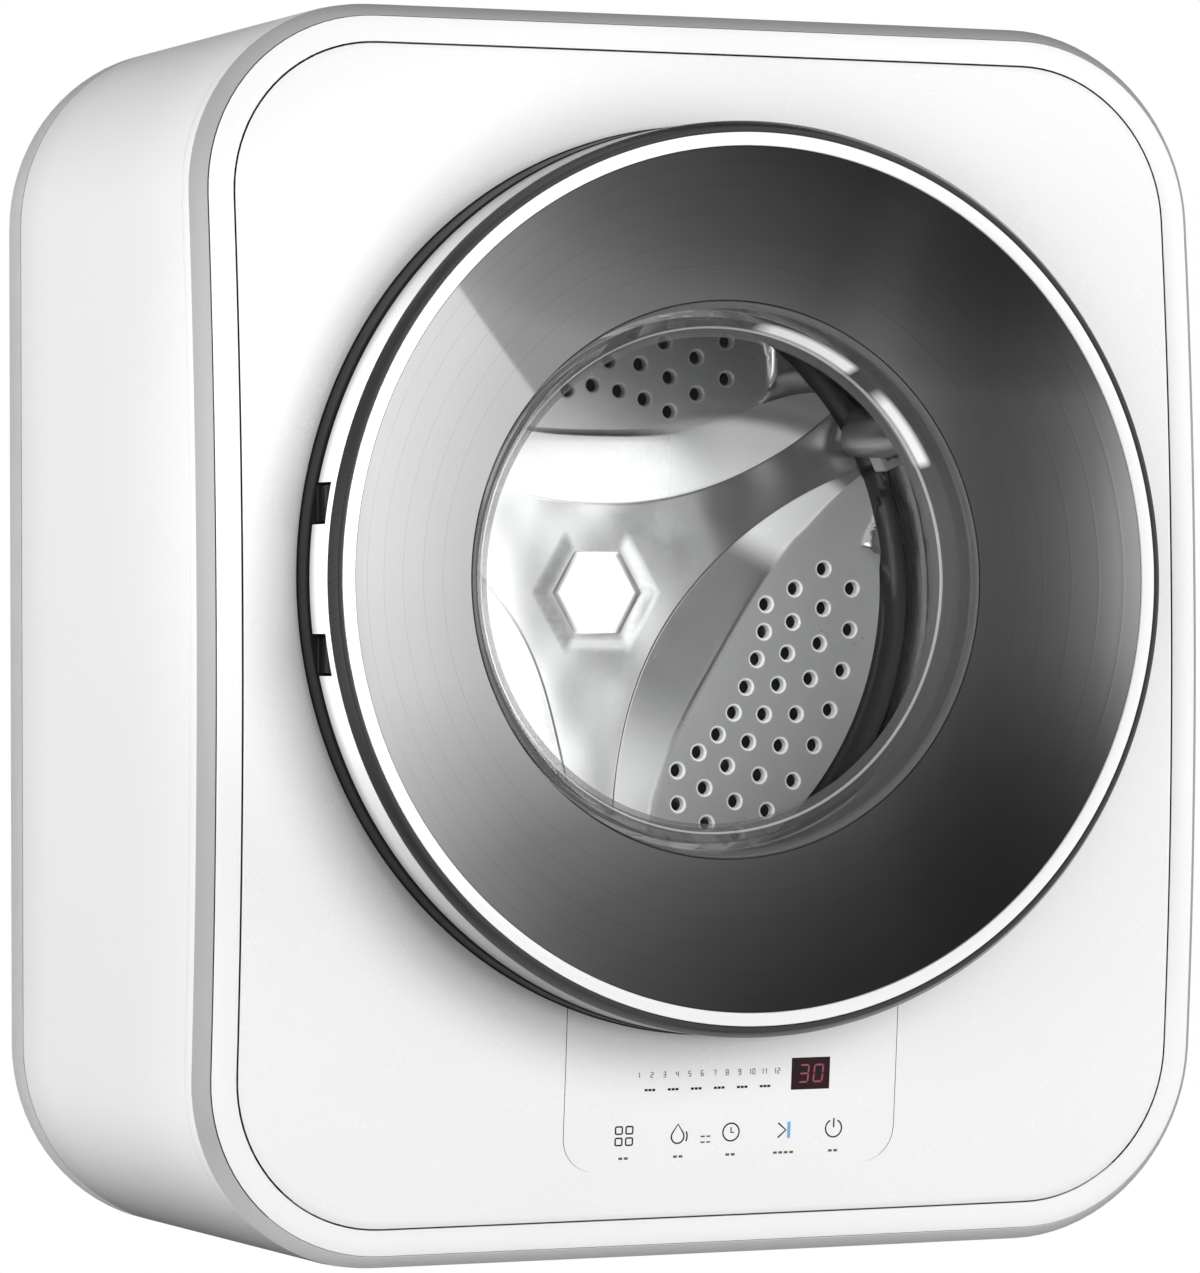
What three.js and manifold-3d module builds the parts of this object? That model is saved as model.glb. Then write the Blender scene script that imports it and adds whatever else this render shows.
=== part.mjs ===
// Wall mounted washing machine: a white rounded cabinet with a domed front, a large round door
// with a dark funnel window and a clear bowl, a belt driven stainless drum, a drain pump, an inlet
// valve and a steel plate that holds it on the wall.
// Millimetres. X runs to the right as the user faces the machine, Y runs back to the wall, Z is up.
// The origin is the middle of the wall plate's back face. Depths below are measured back from the
// foremost point of the domed front panel (the "apex").
import * as THREE from "three";
import { mergeVertices } from "three/addons/utils/BufferGeometryUtils.js";
import Module from "manifold-3d";

const wasm = await Module();
wasm.setup();

// ---- driving dimensions -------------------------------------------------------------------------
const HALF_W = 265, HALF_H = 300, CORNER = 94; // cabinet outline
const BODY_D = 293; // apex to the back of the rear cover
const APEX_Y = -301; // apex in the part's frame: 8 mm of wall plate and pads stand behind the rear cover
const DOME_X = 5e-5, DOME_Z = 2.2e-4; // crown of the front, mm of depth per mm squared
const TRIM_W = 6.65, TRIM_D = 10; // grey band round the front: width seen from the front, depth
const BORDER_W = 12.7; // white border between the grey band and the seam
const WALL = 2.5; // plastic and sheet walls
const GAP = 0.3; // assembly gap between touching pieces
const DOOR_Z = 26.4, DRUM_Z = 21.6; // heights of the door's and the drum's axes
const N = 32; // sides of the large round pieces
const DOOR_R = 218, DOOR_FACE = -40; // outer radius and front plane of the door
const BASE_R = 220, BASE_FACE = -8; // black ring that the door closes on
const HINGE_X = -209, HINGE_Y = -23; // hinge pin, from the door's axis and the apex
const KNUCKLE_Z0 = 26.8, KNUCKLE_Z1 = 43.6; // hinge knuckles above and below the door's centre
const DRUM_R = 168, DRUM_FRONT = 38, HUB_Y = 149, FLOOR_Y = 154; // drum: radius, mouth, star and floor planes
const PULLEY_R = 100, MOTOR_PULLEY_R = 12, MOTOR_X = 70, MOTOR_Z = -228; // belt drive, 100:12
const PUMP_X = -90, PUMP_Z = -246; // drain pump
const PAD_X = 150, PAD_Z = 150; // wall bolts

const dome = (x, z) => DOME_X * x * x + DOME_Z * z * z;

// ---- helpers -------------------------------------------------------------------------------------
const finish = { paint: [0xf4f4f4, 0.35, 0], grey: [0xb4b4b4, 0.4, 0.1], black: [0x1c1c1e, 0.45, 0], dark: [0x55585a, 0.35, 0.5],
  smoked: [0x2a2b2d, 0.12, 0], glass: [0xdfe6e8, 0.05, 0], steel: [0xc4c6c8, 0.28, 1], zinc: [0xa9acad, 0.45, 0.9], rubber: [0x6d7073, 0.75, 0],
  plastic: [0xdfe0e0, 0.5, 0], tub: [0xc9ccce, 0.55, 0], alu: [0xaeb1b4, 0.5, 0.9], board: [0x1f5c3a, 0.5, 0], belt: [0x202020, 0.8, 0], display: [0x2a0d14, 0.15, 0] };
const root = new THREE.Group();
function put(parent, name, geometry, look) {
  const [color, roughness, metalness] = finish[look];
  const m = new THREE.Mesh(geometry, new THREE.MeshStandardMaterial({ color, roughness, metalness, transparent: look === "glass" || look === "smoked", opacity: look === "glass" ? 0.3 : look === "smoked" ? 0.85 : 1 }));
  m.name = name;
  parent.add(m);
  return m;
}
// Position-only copy with shared vertices and faces that point out.
function clean(geometry) {
  const g = (geometry.index ? geometry.toNonIndexed() : geometry).clone();
  const bare = new THREE.BufferGeometry().setAttribute("position", g.getAttribute("position"));
  const m = mergeVertices(bare, 1e-3);
  const p = m.attributes.position.array, ix = m.index.array;
  const keep = [];
  let v = 0;
  for (let i = 0; i < ix.length; i += 3) {
    const [a, b, c] = [ix[i], ix[i + 1], ix[i + 2]];
    if (a === b || b === c || a === c) continue;
    keep.push(a, b, c);
    const [ax, ay, az, bx, by, bz, cx, cy, cz] = [...p.slice(3 * a, 3 * a + 3), ...p.slice(3 * b, 3 * b + 3), ...p.slice(3 * c, 3 * c + 3)];
    v += ax * (by * cz - bz * cy) + ay * (bz * cx - bx * cz) + az * (bx * cy - by * cx);
  }
  if (v < 0) for (let i = 0; i < keep.length; i += 3) [keep[i + 1], keep[i + 2]] = [keep[i + 2], keep[i + 1]];
  m.setIndex(keep);
  return m;
}
function solid(geometry) {
  const g = clean(geometry);
  return new wasm.Manifold(new wasm.Mesh({ numProp: 3, vertProperties: g.attributes.position.array, triVerts: new Uint32Array(g.index.array) }));
}
function mesh(manifold) {
  const m = manifold.getMesh(), n = m.numProp, v = new Float32Array(m.numVert * 3);
  for (let i = 0; i < m.numVert; i++) for (let k = 0; k < 3; k++) v[3 * i + k] = m.vertProperties[n * i + k];
  return new THREE.BufferGeometry().setAttribute("position", new THREE.BufferAttribute(v, 3)).setIndex(new THREE.BufferAttribute(m.triVerts, 1));
}
const cut = (g, ...tools) => mesh(tools.reduce((s, t) => s.subtract(solid(t)), solid(g)));
const join = (...gs) => mesh(gs.slice(1).reduce((s, t) => s.add(solid(t)), solid(gs[0])));
const box = (x0, x1, y0, y1, z0, z1) => new THREE.BoxGeometry(x1 - x0, y1 - y0, z1 - z0).translate((x0 + x1) / 2, (y0 + y1) / 2, (z0 + z1) / 2);
// Solid of revolution about Y; a profile of [radius, y] points that closes on itself unless it starts on the axis.
function turn(profile, n = N) {
  const pts = profile.map(([r, y]) => new THREE.Vector2(r, y));
  if (profile[0][0] > 0) pts.push(pts[0].clone());
  return clean(new THREE.LatheGeometry(pts, n));
}
const rodY = (r, y0, y1, n = 24, x = 0, z = 0) => new THREE.CylinderGeometry(r, r, y1 - y0, n).translate(x, (y0 + y1) / 2, z);
const rodZ = (r, z0, z1, n = 24, x = 0, y = 0) => new THREE.CylinderGeometry(r, r, z1 - z0, n).rotateX(Math.PI / 2).translate(x, y, (z0 + z1) / 2);
const rodX = (r, x0, x1, n = 16, y = 0, z = 0) => new THREE.CylinderGeometry(r, r, x1 - x0, n).rotateZ(Math.PI / 2).translate((x0 + x1) / 2, y, z);
// Rounded rectangle, offset outwards by o from the cabinet outline, the same number of points for every o.
function outline(o, arc = 6) {
  const a = HALF_W + o, b = HALF_H + o, r = CORNER + o, pts = [];
  const corners = [[a - r, b - r, 0], [r - a, b - r, 90], [r - a, r - b, 180], [a - r, r - b, 270]];
  corners.forEach(([cx, cz, t0], k) => {
    for (let i = 0; i <= arc; i++) {
      const t = ((t0 + (90 * i) / arc) * Math.PI) / 180;
      pts.push([cx + r * Math.cos(t), cz + r * Math.sin(t)]);
    }
    const [nx, nz] = [corners[(k + 1) % 4][0], corners[(k + 1) % 4][1]], t = ((t0 + 90) * Math.PI) / 180, m = k % 2 ? 4 : 2;
    for (let i = 1; i < m; i++) pts.push([cx + ((nx - cx) * i) / m + r * Math.cos(t), cz + ((nz - cz) * i) / m + r * Math.sin(t)]);
  });
  return pts;
}
// Closed surface through loops of points, one after the other, the last joined to the first.
function loft(loops) {
  const n = loops[0].length, m = loops.length, v = new Float32Array(n * m * 3), ix = [];
  loops.forEach((l, j) => l.forEach((p, i) => v.set(p, 3 * (j * n + i))));
  for (let j = 0; j < m; j++) for (let i = 0; i < n; i++) {
    const a = j * n + i, b = j * n + ((i + 1) % n), c = ((j + 1) % m) * n + i, d = ((j + 1) % m) * n + ((i + 1) % n);
    ix.push(a, b, d, a, d, c);
  }
  return clean(new THREE.BufferGeometry().setAttribute("position", new THREE.BufferAttribute(v, 3)).setIndex(ix));
}
// A ring that runs round the cabinet: section points are [offset, depth, follows the dome?].
const rim = (section) => loft(section.map(([o, y, d]) => outline(o).map(([x, z]) => [x, y + (d ? dome(x, z) : 0), z])));
// Pipe along a curve.
function pipe(points, r, sides = 8, steps = 24) {
  const s = new THREE.Shape();
  for (let i = 0; i < sides; i++) s[i ? "lineTo" : "moveTo"](r * Math.cos((2 * Math.PI * i) / sides), r * Math.sin((2 * Math.PI * i) / sides));
  s.closePath();
  return clean(new THREE.ExtrudeGeometry(s, { steps, bevelEnabled: false, extrudePath: new THREE.CatmullRomCurve3(points.map((p) => new THREE.Vector3(...p)), false, "centripetal") }));
}

// ---- groups --------------------------------------------------------------------------------------
const cabinet = new THREE.Group(), door = new THREE.Group(), drum = new THREE.Group(), motor = new THREE.Group(), pump = new THREE.Group();
cabinet.position.set(0, APEX_Y, 0);
door.position.set(0, APEX_Y, DOOR_Z);
drum.position.set(0, APEX_Y, DRUM_Z);
motor.position.set(MOTOR_X, APEX_Y, MOTOR_Z);
pump.position.set(PUMP_X, APEX_Y, PUMP_Z);
root.add(cabinet, door, drum, motor, pump);

// ---- cabinet shells ------------------------------------------------------------------------------
const LID = { x0: -150, x1: -50, y0: 70, y1: 130 }; // detergent lid in the top
const PORTS = { inlet: [150, 245, 13.6], drain: [-100, 242, 13.6], cord: [10, 250, 10.6] }; // under the cabinet
let wrap = rim([[0, TRIM_D + GAP, 1], [0, BODY_D - 21 - GAP, 0], [-WALL, BODY_D - 21 - GAP, 0], [-WALL, TRIM_D + GAP, 1]]);
wrap = cut(wrap, box(LID.x0 - 1, LID.x1 + 1, LID.y0 - 1, LID.y1 + 1.4, 290, 310), ...Object.values(PORTS).map(([x, y, r]) => rodZ(r, -310, -290, 16, x, y)));
put(cabinet, "cabinet_wrap", wrap, "paint");
put(cabinet, "trim_band", rim([[-TRIM_W, 0, 1], [0, TRIM_D, 1], [-WALL, TRIM_D, 1], [-TRIM_W, 3.6, 1]]), "grey");
put(cabinet, "front_frame", rim([[-TRIM_W - GAP, 0, 1], [-TRIM_W - GAP, WALL, 1], [-TRIM_W - BORDER_W + 0.2, WALL, 1], [-TRIM_W - BORDER_W + 0.2, 0, 1]]), "paint");
// Front panel: from the round opening to the seam, domed.
{
  const edge = outline(-(TRIM_W + BORDER_W + 0.4)), n = 54;
  const reach = (t) => { // from the door's centre to the rounded outline
    const dx = Math.cos(t), dz = Math.sin(t);
    for (let i = 0; i < edge.length; i++) {
      const [ax, az] = edge[i], [bx, bz] = edge[(i + 1) % edge.length], ex = bx - ax, ez = bz - az, den = dx * ez - dz * ex;
      if (Math.abs(den) < 1e-9) continue;
      const q = (ax * ez - (az - DOOR_Z) * ex) / den, w = (ax * dz - (az - DOOR_Z) * dx) / den;
      if (q > 0 && w >= -1e-6 && w <= 1 + 1e-6) return q;
    }
    throw new Error("open outline");
  };
  const ring = (f, y) => Array.from({ length: n }, (_, i) => {
    const t = (2 * Math.PI * i) / n, q = (BASE_R + 0.8) / Math.cos(Math.PI / n) * (1 - f) + reach(t) * f, x = q * Math.cos(t), z = DOOR_Z + q * Math.sin(t);
    return [x, y + dome(x, z), z];
  });
  const shell = loft([ring(0, 0), ring(0.5, 0), ring(1, 0), ring(1, WALL), ring(0.5, WALL), ring(0, WALL)]);
  // The control area is a separate lens, rounded at its lower corners.
  const prism = (o) => {
    const s = new THREE.Shape(), x0 = -80 - o, x1 = 95.5 + o, z0 = -257 - o, c = 17;
    s.moveTo(x0, -150); s.lineTo(x0, z0 + c);
    for (let i = 1; i <= 4; i++) s.lineTo(x0 + c - c * Math.cos((Math.PI / 8) * i), z0 + c - c * Math.sin((Math.PI / 8) * i));
    for (let i = 0; i <= 4; i++) s.lineTo(x1 - c + c * Math.sin((Math.PI / 8) * i), z0 + c - c * Math.cos((Math.PI / 8) * i));
    s.lineTo(x1, -150); s.closePath();
    return new THREE.ExtrudeGeometry(s, { depth: 60, bevelEnabled: false }).rotateX(Math.PI / 2).translate(0, 30, 0);
  };
  const S = solid(shell);
  put(cabinet, "front_panel", mesh(S.subtract(solid(prism(0.2)))), "paint");
  const lens = S.intersect(solid(prism(-0.1)));
  put(cabinet, "control_lens", mesh(lens.subtract(solid(box(39.4, 59.4, -20, 60, -220.2, -205.2)))), "paint");
  put(cabinet, "display_window", mesh(S.intersect(solid(box(39.7, 59.1, -20, 60, -219.9, -205.5)))), "display");
}
put(cabinet, "control_board", box(-70, 85, 19, 27, -262, -198), "board");
// Rear cover: a shallow tray with two stiffening ribs and the bolt holes.
{
  const flat = (o, y0, y1) => {
    const s = new THREE.Shape(outline(o).map(([x, z]) => new THREE.Vector2(x, z)));
    return new THREE.ExtrudeGeometry(s, { depth: y1 - y0, bevelEnabled: false }).rotateX(Math.PI / 2).translate(0, y1, 0);
  };
  let g = join(rim([[0, BODY_D - 21, 0], [0, BODY_D - 2, 0], [-2, BODY_D, 0], [-4, BODY_D, 0], [-4, BODY_D - 21, 0]]), flat(-3, BODY_D - 3, BODY_D), box(-120, 120, BODY_D - 9, BODY_D - 2.9, 222, 246), box(-120, 120, BODY_D - 9, BODY_D - 2.9, -236, -212));
  g = cut(g, ...[[1, 1], [1, -1], [-1, 1], [-1, -1]].map(([i, k]) => rodY(4.6, 270, 300, 10, i * PAD_X, k * PAD_Z)));
  put(cabinet, "rear_cover", g, "grey");
}

// ---- wall mounting -------------------------------------------------------------------------------
{
  const corners = [[1, 1], [-1, 1], [-1, -1], [1, -1]];
  let g = join(box(-190, 190, 298, 301, -190, 190), ...corners.map(([i, k]) => rodY(20, BODY_D + GAP, 298.5, 14, i * PAD_X, k * PAD_Z)));
  g = cut(g, ...corners.flatMap(([i, k]) => [rodY(4.6, 290, 310, 10, i * PAD_X, k * PAD_Z), rodY(5.2, 290, 310, 10, i * 110, k * 172)]),
    box(-100, 100, 290, 310, 60, 130), box(-100, 100, 290, 310, -130, -60));
  put(cabinet, "wall_plate", g, "zinc");
  corners.forEach(([i, k], q) => {
    const hex = new THREE.CylinderGeometry(8.5, 8.5, 6, 6).translate(0, 286.6, 0);
    put(cabinet, `wall_bolt_${q + 1}`, join(rodY(4, 276, 300.4, 10), hex), "zinc").position.set(i * PAD_X, 0, k * PAD_Z);
  });
}

// ---- base ring, hinge, door lock -----------------------------------------------------------------
put(door, "base_ring", cut(turn([[BASE_R, BASE_FACE], [BASE_R, 20], [216, 20], [216, -5], [160, -5], [160, 4], [156.8, 4], [156.8, BASE_FACE]]), box(174, 197, -12, 0, -7, 7)), "black");
for (const [name, s] of [["hinge_bracket_upper", 1], ["hinge_bracket_lower", -1]]) {
  const z0 = Math.min(s * KNUCKLE_Z0, s * KNUCKLE_Z1), z1 = Math.max(s * KNUCKLE_Z0, s * KNUCKLE_Z1);
  const g = join(rodZ(5, z0, z1, 16, HINGE_X, HINGE_Y), box(HINGE_X - 2, HINGE_X + 2, HINGE_Y, BASE_FACE - GAP, z0, z1), box(HINGE_X - 4, HINGE_X + 7.2, -10, BASE_FACE - GAP, z0, z1));
  put(door, name, cut(g, rodZ(3.1, z0 - 1, z1 + 1, 16, HINGE_X, HINGE_Y)), "black");
}
put(door, "door_lock", cut(box(169, 203, -4.6, 25, -16, 30), box(174, 197.5, -6, 9, -6, 6), box(179, 197.5, 8, 21, -6, 6), box(174, 197.5, 15, 21, -6, 6)), "plastic");

// ---- door ----------------------------------------------------------------------------------------
put(door, "door_front_ring", turn([[205.8, DOOR_FACE], [213.8, DOOR_FACE], [213.8, -36], [205.8, -36]]), "paint");
put(door, "door_dark_ring", turn([[214.1, DOOR_FACE], [DOOR_R, -34.3], [208, -34.3], [208, -35.7], [214.1, -35.7]]), "dark");
put(door, "door_side_ring", cut(turn([[DOOR_R, -34], [DOOR_R, -12], [213.5, -10], [203, -10], [203, -12.2], [213, -12.2], [215.2, -13.5], [215.2, -34]]),
  box(-225, -195, -28.5, -5, 25.4, 45), box(-225, -195, -28.5, -5, -45, -25.4), box(200, 225, -27, -15, -36, 36)), "paint");
put(door, "door_grip_cup", cut(box(203.8, 214.6, -26.7, -15.3, -35.7, 35.7), box(205.8, 216, -24.7, -17.3, -33.7, 33.7)), "black");
put(door, "door_window_cone", turn([[205.4, -38.8], [134.3, -5.9], [134.3, -2.7], [205.4, -35.6]]), "smoked");
put(door, "door_glass_bowl", turn([[0, 15.5], [118, 15.5], [122, 12.5], [129.5, -6.3], [133.9, -6.3], [133.9, -2.3], [141, -2.3], [141, 0.7], [131.8, 0.7], [125.8, 15.5], [120, 19.5], [0, 19.5]]), "glass");
put(door, "door_inner_frame", turn([[202.7, -12], [156, -12], [146, -7.3], [141.4, -2], [141.4, 1], [133, 1], [133, 3.2], [143.6, 3.2], [149, -6], [157, -10], [202.7, -10]]), "plastic");
put(door, "hinge_block", cut(box(-212.4, -196, -28, -13.6, -24.5, 24.5), rodZ(2.8, -30, 30, 16, HINGE_X, HINGE_Y)), "dark");
put(door, "hinge_pin", rodZ(2.5, -44.6, 44.6, 16, HINGE_X, HINGE_Y), "steel");
// Latch hook with its trunnions, on the side away from the hinge.
put(door, "latch_hook", cut(join(box(181, 189, -22, 8, -3, 3), box(179.5, 191, 5, 19, -3, 3), rodZ(4, -3, 3, 12, 185, -20), rodZ(1.9, -9, 9, 12, 185, -19)), box(170, 187.6, 8.6, 15.4, -5, 5)), "zinc");
{ // opening in the inner frame for the hook, and two ears that carry its trunnions
  const f = door.children.find((m) => m.name === "door_inner_frame"), ear = (z0, z1) => box(180.5, 189.5, -23.5, -11, z0, z1);
  f.geometry = cut(join(f.geometry, ear(6.4, 9), ear(-9, -6.4)), box(176, 194, -13, -9, -6, 6), rodZ(2.3, -10, 10, 12, 185, -19));
}

// ---- bellows and tub -----------------------------------------------------------------------------
{
  // One fold joins the door opening to the tub's neck, whose axis is lower than the door's.
  const section = [[156.5, -3], [156.5, 5.8], [150.4, 11], [150.4, 15.2], [158.8, 21.4], [158.8, 30], [156, 30], [156, 22.8], [147.8, 16.4], [147.8, 12.6], [131.8, 12], [131.2, 9.3], [150.5, 4], [153.8, -3]];
  const shift = (r, y) => (r < 140 ? 0 : (DRUM_Z - DOOR_Z) * Math.min(1, Math.max(0, (y - 6) / 15)));
  put(door, "bellows", loft(section.map(([r, y]) => Array.from({ length: N }, (_, i) => {
    const t = (2 * Math.PI * i) / N;
    return [r * Math.sin(t), y, r * Math.cos(t) + shift(r, y)];
  }))), "rubber");
}
const T = 30;
put(drum, "tub_front", turn([[151, 24], [151, 34], [184.5, 34], [184.5, 110], [194, 110], [194, 106], [188, 106], [188, 31], [154.5, 31], [154.5, 24]], T), "tub");
{
  // The tub's rear half with its bearing housing, and a drain stub under it.
  const shell = turn([[184.5, 110.3], [194, 110.3], [194, 114.3], [188, 114.3], [188, 203.5], [34, 203.5], [34, 240], [26.3, 240], [26.3, 203.5], [20, 203.5], [20, 200], [184.5, 200]], T);
  put(drum, "tub_rear", cut(join(shell, rodZ(15, -210, -172, 16, -40, 130)), rodZ(12, -220, -170, 16, -40, 130), turn([[0, 100], [184.5, 100], [184.5, 200], [0, 200]], T)), "tub");
}
put(drum, "shaft_seal", turn([[13.1, 204], [26, 204], [26, 208.5], [13.1, 208.5]], 24), "rubber");
put(drum, "bearing_front", turn([[12.9, 209], [26, 209], [26, 219], [12.9, 219]], 24), "steel");
put(drum, "bearing_rear", turn([[12.9, 228], [26, 228], [26, 238.5], [12.9, 238.5]], 24), "steel");
[[1, 1], [-1, 1], [-1, -1], [1, -1]].forEach(([i, k], q) => {
  const m = put(drum, `tub_mount_${q + 1}`, turn([[0, 203.8], [15, 203.8], [15, 214], [10, 219], [10, 274], [15, 279], [15, 289.6], [0, 289.6]], 14), "rubber");
  m.position.set(i * 141, 0, k * 51);
});

// ---- drum ----------------------------------------------------------------------------------------
// Pressed back: a three armed star stands 5 mm proud of the floor, with a hexagonal hub recess.
function drumBack(x, z) {
  let f = 0;
  for (const t of [90, 210, 330]) {
    const c = Math.cos(((t - 90) * Math.PI) / 180), s = Math.sin(((t - 90) * Math.PI) / 180), u = x * c + z * s, w = -x * s + z * c;
    const lo = 46 + (u * u) / 414, hi = 82 + (u * u) / 800, q = Math.min(1, Math.max(0, (w - lo) / Math.max(4, hi - lo)));
    f = Math.max(f, q);
  }
  return HUB_Y + (FLOOR_Y - HUB_Y) * f;
}
{
  const n = 30, radii = [8, 44, 62, 84, 112, 140, DRUM_R - 0.4];
  const ring = (r, dy) => Array.from({ length: n }, (_, i) => {
    const t = (2 * Math.PI * i) / n, x = r * Math.sin(t), z = r * Math.cos(t);
    return [x, drumBack(x, z) + dy, z];
  });
  const shell = loft([...radii.map((r) => ring(r, 0)), ...radii.slice().reverse().map((r) => ring(r, 1.6))]);
  const hex = (r0, r1, y0, y1) => new THREE.CylinderGeometry(r1, r0, y1 - y0, 6).rotateY(Math.PI / 6 + Math.PI / 6).translate(0, (y0 + y1) / 2, 0).rotateY(Math.PI / 6);
  const plugged = join(shell, rodY(12, HUB_Y, HUB_Y + 1.6, 24), new THREE.CylinderGeometry(28, 37, 8, 6).rotateY(Math.PI / 2).translate(0, HUB_Y + 5, 0));
  put(drum, "drum_back", cut(plugged, new THREE.CylinderGeometry(24, 34, 7.2, 6).rotateY(Math.PI / 2).translate(0, HUB_Y + 3.5, 0)), "steel");
}
put(drum, "drum_shell", turn([[149, DRUM_FRONT], [DRUM_R + 1.5, DRUM_FRONT], [DRUM_R + 1.5, 160], [DRUM_R, 160], [DRUM_R, DRUM_FRONT + 1.5], [150.5, DRUM_FRONT + 1.5], [150.5, 45], [149, 45]], T), "steel");
// Three lifters over the star's arms.
[30, 150, 270].forEach((deg, q) => {
  const s = new THREE.Shape();
  [[-17, 0], [-9, -20], [-4, -24], [4, -24], [9, -20], [17, 0]].forEach(([a, b], i) => s[i ? "lineTo" : "moveTo"](a, b));
  s.closePath();
  const g = new THREE.ExtrudeGeometry(s, { depth: 92, bevelEnabled: false }).rotateX(Math.PI / 2).translate(0, 141, 0);
  // the foot follows the drum wall
  const m = put(drum, `lifter_${q + 1}`, cut(g.translate(0, 0, 167.6), solidRing()), "plastic");
  m.rotation.y = -((deg - 90) * Math.PI) / 180;
});
function solidRing() { return turn([[DRUM_R - 2, 30], [220, 30], [220, 200], [DRUM_R - 2, 200]], 30); }
{
  const arm = (deg) => box(26, 160, 163, 181, -7, 7).rotateY((-deg * Math.PI) / 180);
  put(drum, "drum_spider", cut(join(turn([[0, 163], [30, 163], [30, 195], [0, 195]], 24), arm(30), arm(150), arm(270)), rodY(12.9, 168, 200, 24)), "alu");
}
put(drum, "drum_shaft", rodY(12.5, 168.4, 261.5, 24), "steel");
put(drum, "drum_pulley", cut(turn([[12.9, 242], [26, 242], [26, 248], [92, 248], [92, 243], [PULLEY_R, 243], [PULLEY_R, 257], [92, 257], [92, 252], [26, 252], [26, 260], [12.9, 260]], T),
  ...[0, 1, 2, 3, 4].map((k) => rodY(18, 240, 262, 8, 60 * Math.cos((k * 2 * Math.PI) / 5), 60 * Math.sin((k * 2 * Math.PI) / 5)))), "alu");
// Belt round both pulleys.
{
  const d = Math.hypot(MOTOR_X, MOTOR_Z - DRUM_Z), base = Math.atan2(MOTOR_Z - DRUM_Z, MOTOR_X);
  const loop = (R, r) => {
    const phi = Math.acos((R - r) / d), pts = [];
    for (let i = 0; i <= 40; i++) { const t = base + phi + ((2 * Math.PI - 2 * phi) * i) / 40; pts.push(new THREE.Vector2(R * Math.cos(t), R * Math.sin(t))); }
    for (let i = 0; i <= 10; i++) { const t = base - phi + (2 * phi * i) / 10; pts.push(new THREE.Vector2(d * Math.cos(base) + r * Math.cos(t), d * Math.sin(base) + r * Math.sin(t))); }
    return pts;
  };
  const s = new THREE.Shape(loop(PULLEY_R + 4, MOTOR_PULLEY_R + 4));
  s.holes.push(new THREE.Path(loop(PULLEY_R + 1, MOTOR_PULLEY_R + 1).reverse()));
  put(drum, "drive_belt", new THREE.ExtrudeGeometry(s, { depth: 12, bevelEnabled: false }).rotateX(Math.PI / 2).translate(0, 256, 0), "belt");
}

// ---- motor ---------------------------------------------------------------------------------------
put(motor, "motor_housing", cut(join(turn([[0, 128], [40, 128], [50, 136], [50, 226], [40, 234], [0, 234]], 24), box(-58, 58, 150, 170, 30, 38), box(-58, 58, 195, 215, 30, 38)), rodY(6, 190, 240, 16)), "alu");
put(motor, "motor_shaft", rodY(5, 195, 262, 16), "steel");
put(motor, "motor_pulley", turn([[5.4, 243], [MOTOR_PULLEY_R, 243], [MOTOR_PULLEY_R, 257], [5.4, 257]], 20), "zinc");

// ---- drain ---------------------------------------------------------------------------------------
put(pump, "pump_housing", turn([[0, 188], [27, 188], [27, 162], [30, 162], [30, 192], [24, 194], [24, 230], [0, 230]], 20), "plastic");
put(pump, "pump_cover", cut(join(turn([[0, 158], [30, 158], [30, 161.7], [0, 161.7]], 20), rodY(11, 140, 159, 12)), rodY(8.5, 135, 170, 12)), "plastic");
{
  let g = rodY(6, 166, 187, 12);
  for (let k = 0; k < 2; k++) g = join(g, box(-23, 23, 167, 183, -1.5, 1.5).rotateY((k * Math.PI) / 2));
  put(pump, "pump_impeller", g, "plastic");
}
put(cabinet, "sump_hose", pipe([[-40, 130, -189.2], [-40, 130, -202], [-50, 112, -226], [-74, 98, -243], [-88, 106, -246], [-90, 124, -246], [-90, 139.4, -246]], 10, 8, 14), "rubber");
const [DX, DY] = PORTS.drain;
put(cabinet, "drain_outlet", cut(join(rodZ(13, -315, -285, 16, DX, DY), rodZ(18, -297.2, -294, 16, DX, DY)), rodZ(9, -320, -280, 16, DX, DY)), "plastic");
put(cabinet, "drain_hose", pipe([[-121.4, 178, -246], [-132, 178, -246], [-141, 190, -247], [-138, 216, -250], [-120, 236, -258], [-104, 241, -268], [DX, DY, -276], [DX, DY, -284.6]], 8.5, 8, 16), "rubber");

// ---- water in, detergent, power ------------------------------------------------------------------
{
  const [x, y] = PORTS.inlet;
  put(cabinet, "inlet_valve", cut(join(rodZ(13.1, -315, -286, 16, x, y), rodZ(18, -297.2, -293, 16, x, y), box(x - 16, x + 16, y - 20, y + 14, -288, -250), rodZ(7, -252, -236, 12, x, y)), rodZ(9, -320, -292, 16, x, y)), "plastic");
}
put(cabinet, "fill_hose", pipe([[150, 245, -235.4], [150, 245, -222], [176, 250, -196], [222, 252, -120], [232, 250, 60], [218, 240, 170], [150, 220, 238], [40, 165, 262], [-12, 108, 275], [-34, 100, 276], [-46.6, 100, 276]], 6, 8, 26), "rubber");
put(cabinet, "detergent_box", cut(join(box(LID.x0 + 4, LID.x1 - 4, LID.y0 + 4, LID.y1 - 4, 244, 296.8), box(LID.x1 - 6, LID.x1 + 3, 92, 108, 268, 284)), box(LID.x0 + 6.5, LID.x1 - 6.5, LID.y0 + 6.5, LID.y1 - 6.5, 247, 300)), "plastic");
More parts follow.
